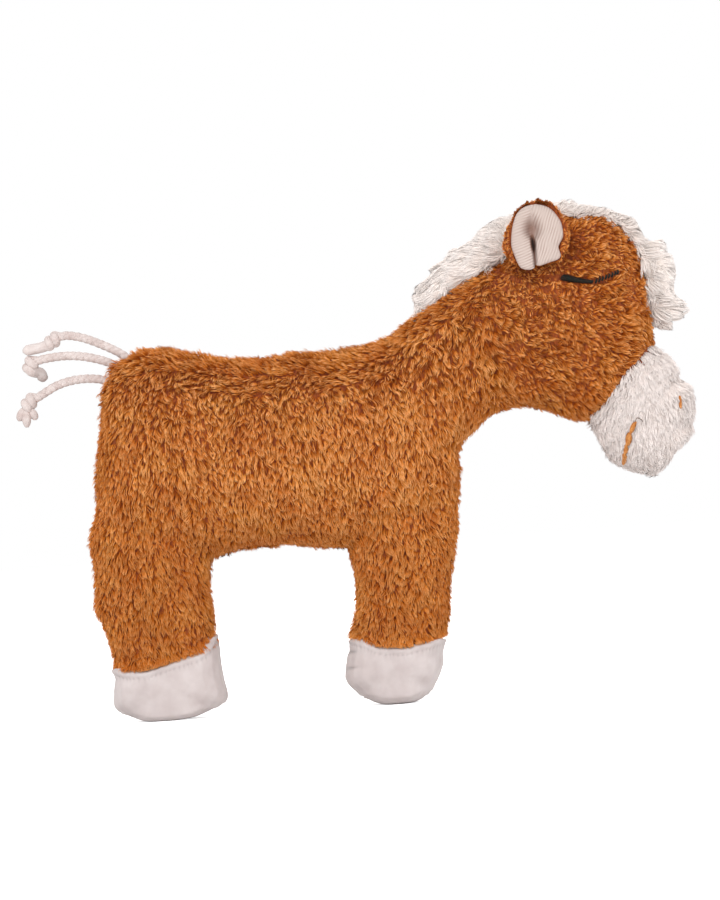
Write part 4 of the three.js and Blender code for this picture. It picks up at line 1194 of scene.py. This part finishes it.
def make_ears(finish):
    for side, sign in SIDES:
        back, lining, body = "ear_back_" + side, "ear_lining_" + side, "ear_" + side
        mesh = fused([node_bmesh(back)], 0.45 * MM, 5)
        set_points(mesh, points_of(mesh) - normals_of(mesh) * 0.3 * MM)
        rim = LINING_CENTRE + (np.array(EAR_OUTLINE[:EAR_RIM_POINTS]) - LINING_CENTRE) * 0.95
        for _ in range(3):
            set_points(mesh, fitted(points_of(mesh), LINING_CENTRE, rim))
        piece(back + "_cloth", mesh, finish["backing"], body, "brown_plush", back, fill=0.3)
        roots, normals = scattered(mesh, 7.0, 51)
        free = ~(within(roots, LINING_OUTLINE) & (normals[:, 1] * sign > 0.2))
        free &= within(roots, EAR_OUTLINE)
        roots, normals = roots[free], normals[free]
        front = (normals[:, 1] * sign > 0)[:, None]
        outwards = (roots - np.insert(LINING_CENTRE, 1, 0)) * [1, 0, 1]
        lies = combed(normals, np.where(front, outwards, [0, 0, -1]), 0.8 * waves(roots, 4 * MM, 52))
        low = 1 - rising(roots[:, 2], 0.134, 0.142)
        length, rise = (1.1 + 0.5 * low) * MM, (0.5 + 0.2 * low) * MM
        lines, shade = pile(roots, normals, lies, 0.9 * MM, length, rise, 0.15 * MM, 0.4, 53)
        even = waves(roots, 1.2 * MM, 54) < 1.1
        lines[even] = trimmed(lines[even], roots[even], EAR_OUTLINE)
        coat = strand_mesh(back + "_pile", lines, normals, 0.12 * MM, shade * 0.95, 0.55)
        piece(coat.name, coat, finish["brown pile"], body, "brown_plush")
        inner = lining_mesh(lining + "_cloth", sign)
        piece(inner.name, inner, finish["jersey"], body, "ear_jersey", lining, fill=0.35)


# Tail: three braided cords out of the centre seam, each with an overhand knot and a short end.
CORD_DIAMETER = 2.6 * MM
CORD_POINTS = 90  # in the line that a cord follows
CORD_SWING = 35  # degrees each way
CORDS = {
    "upper": {
        "exit": (-0.0778, 0, 0.1098),
        "route": [
            (-0.0765, 0.1085), (-0.0784, 0.1103), (-0.0812, 0.1121), (-0.0851, 0.1141), (-0.0887, 0.1157),
            (-0.0918, 0.1167), (-0.0948, 0.1172), (-0.0972, 0.1168), (-0.0988, 0.1159), (-0.1003, 0.1149),
            (-0.1024, 0.1142), (-0.1052, 0.1138), (-0.1082, 0.1134),
        ],
        "knot": 0.72,
        "lobes": 1,
        "stub_shade": 0.0,
    },
    "middle": {
        "exit": (-0.0816, 0, 0.1065),
        "route": [
            (-0.0790, 0.1060), (-0.0820, 0.1079), (-0.0854, 0.1093), (-0.0894, 0.1104), (-0.0933, 0.1110),
            (-0.0971, 0.1111), (-0.1009, 0.1108), (-0.1041, 0.1102), (-0.1060, 0.1090), (-0.1060, 0.1074),
            (-0.1045, 0.1068), (-0.1033, 0.1066), (-0.1028, 0.1054), (-0.1026, 0.1038),
        ],
        "knot": 0.80,
        "lobes": 1,
        "stub_shade": 1.0,
    },
    "lower": {
        "exit": (-0.0836, 0, 0.1030),
        "route": [
            (-0.0820, 0.1022), (-0.0853, 0.1033), (-0.0885, 0.1038), (-0.0923, 0.1038), (-0.0961, 0.1032),
            (-0.0994, 0.1021), (-0.1021, 0.1007), (-0.1048, 0.0992), (-0.1070, 0.0980), (-0.1080, 0.0966),
            (-0.1083, 0.0950), (-0.1084, 0.0930), (-0.1084, 0.0908),
        ],
        "knot": 0.79,
        "lobes": 3,
        "stub_shade": 0.0,
    },
}


def carried(path, start):
    """Two directions square to a path at each of its points, carried along it without twist."""
    ahead = unit(np.gradient(path, axis=0))
    aside = np.empty_like(path)
    side = np.asarray(start, float)
    for i, a in enumerate(ahead):
        side = side - (side @ a) * a
        side /= np.linalg.norm(side)
        aside[i] = side
    return aside, np.cross(ahead, aside)


def wall(sides, rings):
    """Faces between rings of points, each with as many points as sides."""
    around = [(k, (k + 1) % sides) for k in range(sides)]
    first = range(0, (rings - 1) * sides, sides)
    return [[r + a, r + b, r + b + sides, r + a + sides] for r in first for a, b in around]


def swept(path, radii, sides=8, start=(0, 1, 0)):
    """Points and faces of a closed round tube along a path."""
    path = np.asarray(path, float)
    radii = np.broadcast_to(radii, len(path))
    aside, over = carried(path, start)
    turn = 2 * math.pi * np.arange(sides) / sides
    ring = np.cos(turn)[None, :, None] * aside[:, None] + np.sin(turn)[None, :, None] * over[:, None]
    points = (path[:, None] + radii[:, None, None] * ring).reshape(-1, 3)
    ends = [list(range(sides))[::-1], [(len(path) - 1) * sides + k for k in range(sides)]]
    return points, ends + wall(sides, len(path))


def joined(name, tubes):
    """One mesh of several tubes."""
    points, faces, first = [], [], 0
    for some, theirs in tubes:
        points.append(some)
        faces += [[first + i for i in face] for face in theirs]
        first += len(some)
    mesh = bpy.data.meshes.new(name)
    mesh.from_pydata(np.vstack(points).tolist(), [], faces)
    mesh.update()
    return mesh


def braid(path, width, strands=3, lay=5.5 * MM):
    """Strands plaited round a path, which together are width across."""
    aside, over = carried(path, (0, 1, 0))
    reach = 0.17 * width
    tubes = []
    for k in range(strands):
        angle = 2 * math.pi * (far_along(path) / lay + k / strands)
        side, up = 0.8 * reach * np.sin(2 * angle), reach * np.sin(angle)
        line = path + aside * side[:, None] + over * up[:, None]
        tubes.append(swept(line, 0.35 * width * tapered(len(line)), 12))
    return tubes


def tapered(count):
    """Radii that round off both ends of a strand."""
    share = np.linspace(0, 1, count)
    return np.sqrt(np.clip(np.minimum(share, 1 - share) * count / 2.5, 0.2, 1))


def knot_tube(path, at, width):
    """A turn and a half of cord round its own line."""
    middle = int(at * (len(path) - 1))
    ahead = unit(np.gradient(path, axis=0))[middle]
    side = unit(np.cross(ahead, (0, 1, 0)))
    over = np.cross(side, ahead)
    turns = np.linspace(-0.75, 0.75, 40)
    angle = 2 * math.pi * turns + 0.9
    round_it = np.cos(angle)[:, None] * side + np.sin(angle)[:, None] * over
    coil = path[middle] + 0.42 * width * round_it + ahead * (turns * 0.85 * width)[:, None]
    line = smooth_path([path[max(middle - 7, 0)], *coil[::3], path[min(middle + 7, len(path) - 1)]], 90)
    return swept(line, 0.5 * width * tapered(len(line)), 16)


def stub(path, width, lobes):
    """The short end of a cord past its knot: one rounded end, or one that has opened into lobes."""
    share = np.linspace(0, 1, len(path))
    rounded = np.sqrt(np.clip(np.minimum(share * 6, (1 - share) * 7), 0.06, 1))
    if lobes == 1:
        return [swept(path, 0.62 * width * rounded, 16)]
    _, over = carried(path, (0, 1, 0))
    opened = rising(share, 0.0, 0.9)[:, None]
    ball = np.sqrt(np.clip(1 - (np.clip(share - 0.62, 0, None) / 0.39) ** 2, 0.12, 1))
    tubes = []
    for spread in (-1, 0, 1):
        line = path[:1] + (path - path[:1]) * (1.04 - 0.3 * abs(spread))
        line += opened * over * spread * 0.85 * width
        line[:, 1] -= 0.5 * MM * (1 - abs(spread))
        tubes.append(swept(line, (0.28 + 0.26 * rising(share, 0.1, 0.6)) * width * ball, 14))
    return tubes


def make_tail(finish):
    for name, cord in CORDS.items():
        path = smooth_path(cord["route"], CORD_POINTS)
        body, node, knot_node = "cord_" + name, "tail_cord_" + name, "tail_knot_" + name
        knotted = int((cord["knot"] + 0.06) * (len(path) - 1))
        tubes = braid(path[:knotted], CORD_DIAMETER)
        tubes += stub(evenly(path[knotted - 4 :], 24), CORD_DIAMETER, cord["lobes"])
        strands = joined(node + "_braid", tubes)
        # Painted shade on the middle cord's short end, which lies in shade.
        stub_shade = np.zeros(len(strands.vertices))
        stub_shade[-len(tubes[-1][0]) :] = cord["stub_shade"]
        paint(strands, "stub_shade", stub_shade)
        rope = piece(strands.name, strands, finish["cord"], body, "tail_cotton", node)
        loops = joined(knot_node + "_loops", [knot_tube(path, cord["knot"], CORD_DIAMETER)])
        knot = piece(loops.name, loops, finish["cord"], body, "tail_cotton", knot_node)
        length = round(float(far_along(path)[-1]), 4)


# Embroidery: threads laid side by side over a line of stitches.
def laid_on(node, places, sign, lift):
    """Points of a line in the seam plane brought out to a piece's side, and how the piece faces there."""
    tree = node_tree(node)
    found, facing = [], []
    for x, _, z in places:
        hit, normal, _, _ = tree.ray_cast(Vector((x, sign * 1.0, z)), Vector((0, -sign, 0)))
        found.append(hit)
        facing.append(normal)
    normals = unit(np.array(facing))
    for _ in range(6):
        normals[1:-1] = unit(normals[:-2] + normals[1:-1] * 2 + normals[2:])
    return np.array(found) + normals * lift, normals


def satin(line, normals, widths, pitch, thickness, slant=0.35):
    """Threads across a line, each an arch from one edge to the other."""
    ahead = unit(np.gradient(line, axis=0))
    across = unit(np.cross(normals, ahead))
    far = far_along(line)
    share = np.linspace(-1, 1, 7)[:, None]
    tubes = []
    for at in np.arange(pitch / 2, far[-1], pitch):
        here, facing, way, on, width = (
            np.array([np.interp(at, far, values[:, k]) for k in range(values.shape[1])])
            for values in (line, normals, across, ahead, np.asarray(widths)[:, None])
        )
        arch = here + share * (way + on * slant) * width / 2 - facing * share**2 * width * 0.45
        tubes.append(swept(arch, thickness / 2, 6, start=facing))
    return tubes


EYE_CENTRE = (0.063, 0.123)
EYE = [
    (0.0542, 0.1238), (0.0558, 0.1233), (0.0585, 0.1225), (0.0612, 0.1219), (0.0636, 0.1216),
    (0.0653, 0.1220), (0.0675, 0.1227), (0.0696, 0.1234), (0.0713, 0.1241),
]
MOUTH = [
    (0.0734, 0.0792), (0.0723, 0.0776), (0.0712, 0.0752), (0.0703, 0.0725), (0.0696, 0.0698),
    (0.0691, 0.0670),
]
NOSTRIL = [(0.0867, 0.0858), (0.0869, 0.0840), (0.0867, 0.0821)]
THREAD_END = [(0.0731, 0.0793), (0.0737, 0.0803), (0.0744, 0.0801), (0.0751, 0.0796), (0.0752, 0.0790)]
# For each line of stitches: its least width, and the swells along it as (share, width, reach).
STITCHES = {
    "mouth_stitch": (
        MOUTH, 0.45 * MM,
        [(0.15, 1.3 * MM, 0.13), (0.43, 1.9 * MM, 0.14), (0.67, 1.4 * MM, 0.09), (0.88, 1.6 * MM, 0.11)],
    ),
    "nostril_stitch": (NOSTRIL, 0.45 * MM, [(0.25, 0.8 * MM, 0.25), (0.75, 0.95 * MM, 0.25)]),
}


def eye_widths(share):
    return np.interp(share, [0, 0.03, 0.12, 0.3, 0.52, 0.57, 1], [1.2, 1.9, 1.9, 1.4, 0.8, 0.9, 0.95]) * MM


def make_stitches(finish):
    share = np.linspace(0, 1, 60)
    for side, sign in SIDES:
        line, normals = laid_on("head", smooth_path(EYE, 60), sign, 0.35 * MM)
        widths = eye_widths(share)
        solid = share < 0.55
        tubes = satin(line[solid], normals[solid], widths[solid], 0.36 * MM, 0.34 * MM)
        tubes += satin(line[~solid], normals[~solid], widths[~solid], 1.1 * MM, 0.62 * MM, slant=0.8)
        mesh = joined("eye_stitch_" + side + "_threads", tubes)
        piece(mesh.name, mesh, finish["eye thread"], "body", "eye_thread", "eye_stitch_" + side)
        for name, (places, least, bulges) in STITCHES.items():
            line, normals = laid_on("muzzle", smooth_path(places, 60), sign, 0.6 * MM)
            widths = np.full(len(line), least)
            for at, width, reach in bulges:
                widths = np.maximum(widths, width * np.sqrt(np.clip(1 - ((share - at) / reach) ** 2, 0, 1)))
            tubes = satin(line, normals, widths, 0.3 * MM, 0.34 * MM, slant=0.5)
            mesh = joined(name + "_" + side + "_threads", tubes)
            piece(mesh.name, mesh, finish["mouth thread"], "body", "mouth_thread", name + "_" + side)
        line, _ = laid_on("muzzle", smooth_path(THREAD_END, 20), sign, 0.9 * MM)
        mesh = joined("mouth_thread_end_" + side, [swept(line, 0.16 * MM * tapered(20), 8)])
        piece(mesh.name, mesh, finish["grey thread"], "body", "mouth_thread")


# The plain pale floor, the light of a studio tent, and a white surround.
WHITE = (1, 1, 1, 1)
LAMPS = (  # place, size across and power
    ("key", (-0.5, -1.5, 1.2), 0.8, 24),
    ("fill", (0.5, -1.8, 0.3), 1.0, 10),
    ("back", (0.2, 1.5, 1.1), 1.0, 18),
    ("front", (1.7, -0.2, 0.5), 1.0, 8),
    ("rear", (-1.7, 0.2, 0.6), 1.0, 5),
)


def make_studio():
    bm = bmesh.new()
    bmesh.ops.create_grid(bm, x_segments=1, y_segments=1, size=4)
    mesh = bpy.data.meshes.new("floor")
    bm.to_mesh(mesh)
    bm.free()
    paper = bpy.data.materials.new("matt white paper")
    paper.use_nodes = True
    tree = paper.node_tree
    tree.nodes.clear()
    # The paper is lit as paper is, and lifted to white for the camera so that only its shadow shows.
    plain = add(tree, "BsdfDiffuse", {"Color": linear("f4f4f4")}).outputs[0]
    glow = add(tree, "Emission", {"Color": WHITE, "Strength": 0.6}).outputs[0]
    lifted = add(tree, "AddShader", {0: plain, 1: glow}).outputs[0]
    seen = add(tree, "LightPath").outputs["Is Camera Ray"]
    mixed = add(tree, "MixShader", {0: seen, 1: plain, 2: lifted})
    add(tree, "OutputMaterial", {"Surface": mixed.outputs[0]})
    link("floor", mesh, paper)

    world = bpy.data.worlds.new("studio")
    bpy.context.scene.world = world
    world.use_nodes = True
    tree = world.node_tree
    tree.nodes.clear()
    rays = add(tree, "LightPath").outputs
    seen = rays["Is Camera Ray"]
    for ray in ("Is Glossy Ray", "Is Transmission Ray"):
        seen = add(tree, "Math", {0: seen, 1: rays[ray]}, operation="MAXIMUM").outputs[0]
    soft = add(tree, "Background", {"Color": WHITE, "Strength": 0.48}).outputs[0]
    white = add(tree, "Background", {"Color": WHITE, "Strength": 1.0}).outputs[0]
    mixed = add(tree, "MixShader", {0: seen, 1: soft, 2: white})
    add(tree, "OutputWorld", {"Surface": mixed.outputs[0]})

    for name, place, size, power in LAMPS:
        data = bpy.data.lights.new(name, "AREA")
        data.size, data.energy = size, power
        made = bpy.data.objects.new(name, data)
        aim = Vector((0, 0, 0.07)) - Vector(place)
        made.matrix_world = Matrix.Translation(place) @ aim.to_track_quat("-Z", "Y").to_matrix().to_4x4()
        bpy.context.scene.collection.objects.link(made)


make_camera()
finishes = make_materials()
make_tail(finishes)
seam_band = make_body(finishes)
finish_inner_nodes(finishes)
make_hooves(finishes)
make_muzzle(finishes, *seam_band)
make_mane(finishes)
make_ears(finishes)
make_stitches(finishes)
make_studio()
bpy.context.scene.view_settings.view_transform = "Standard"
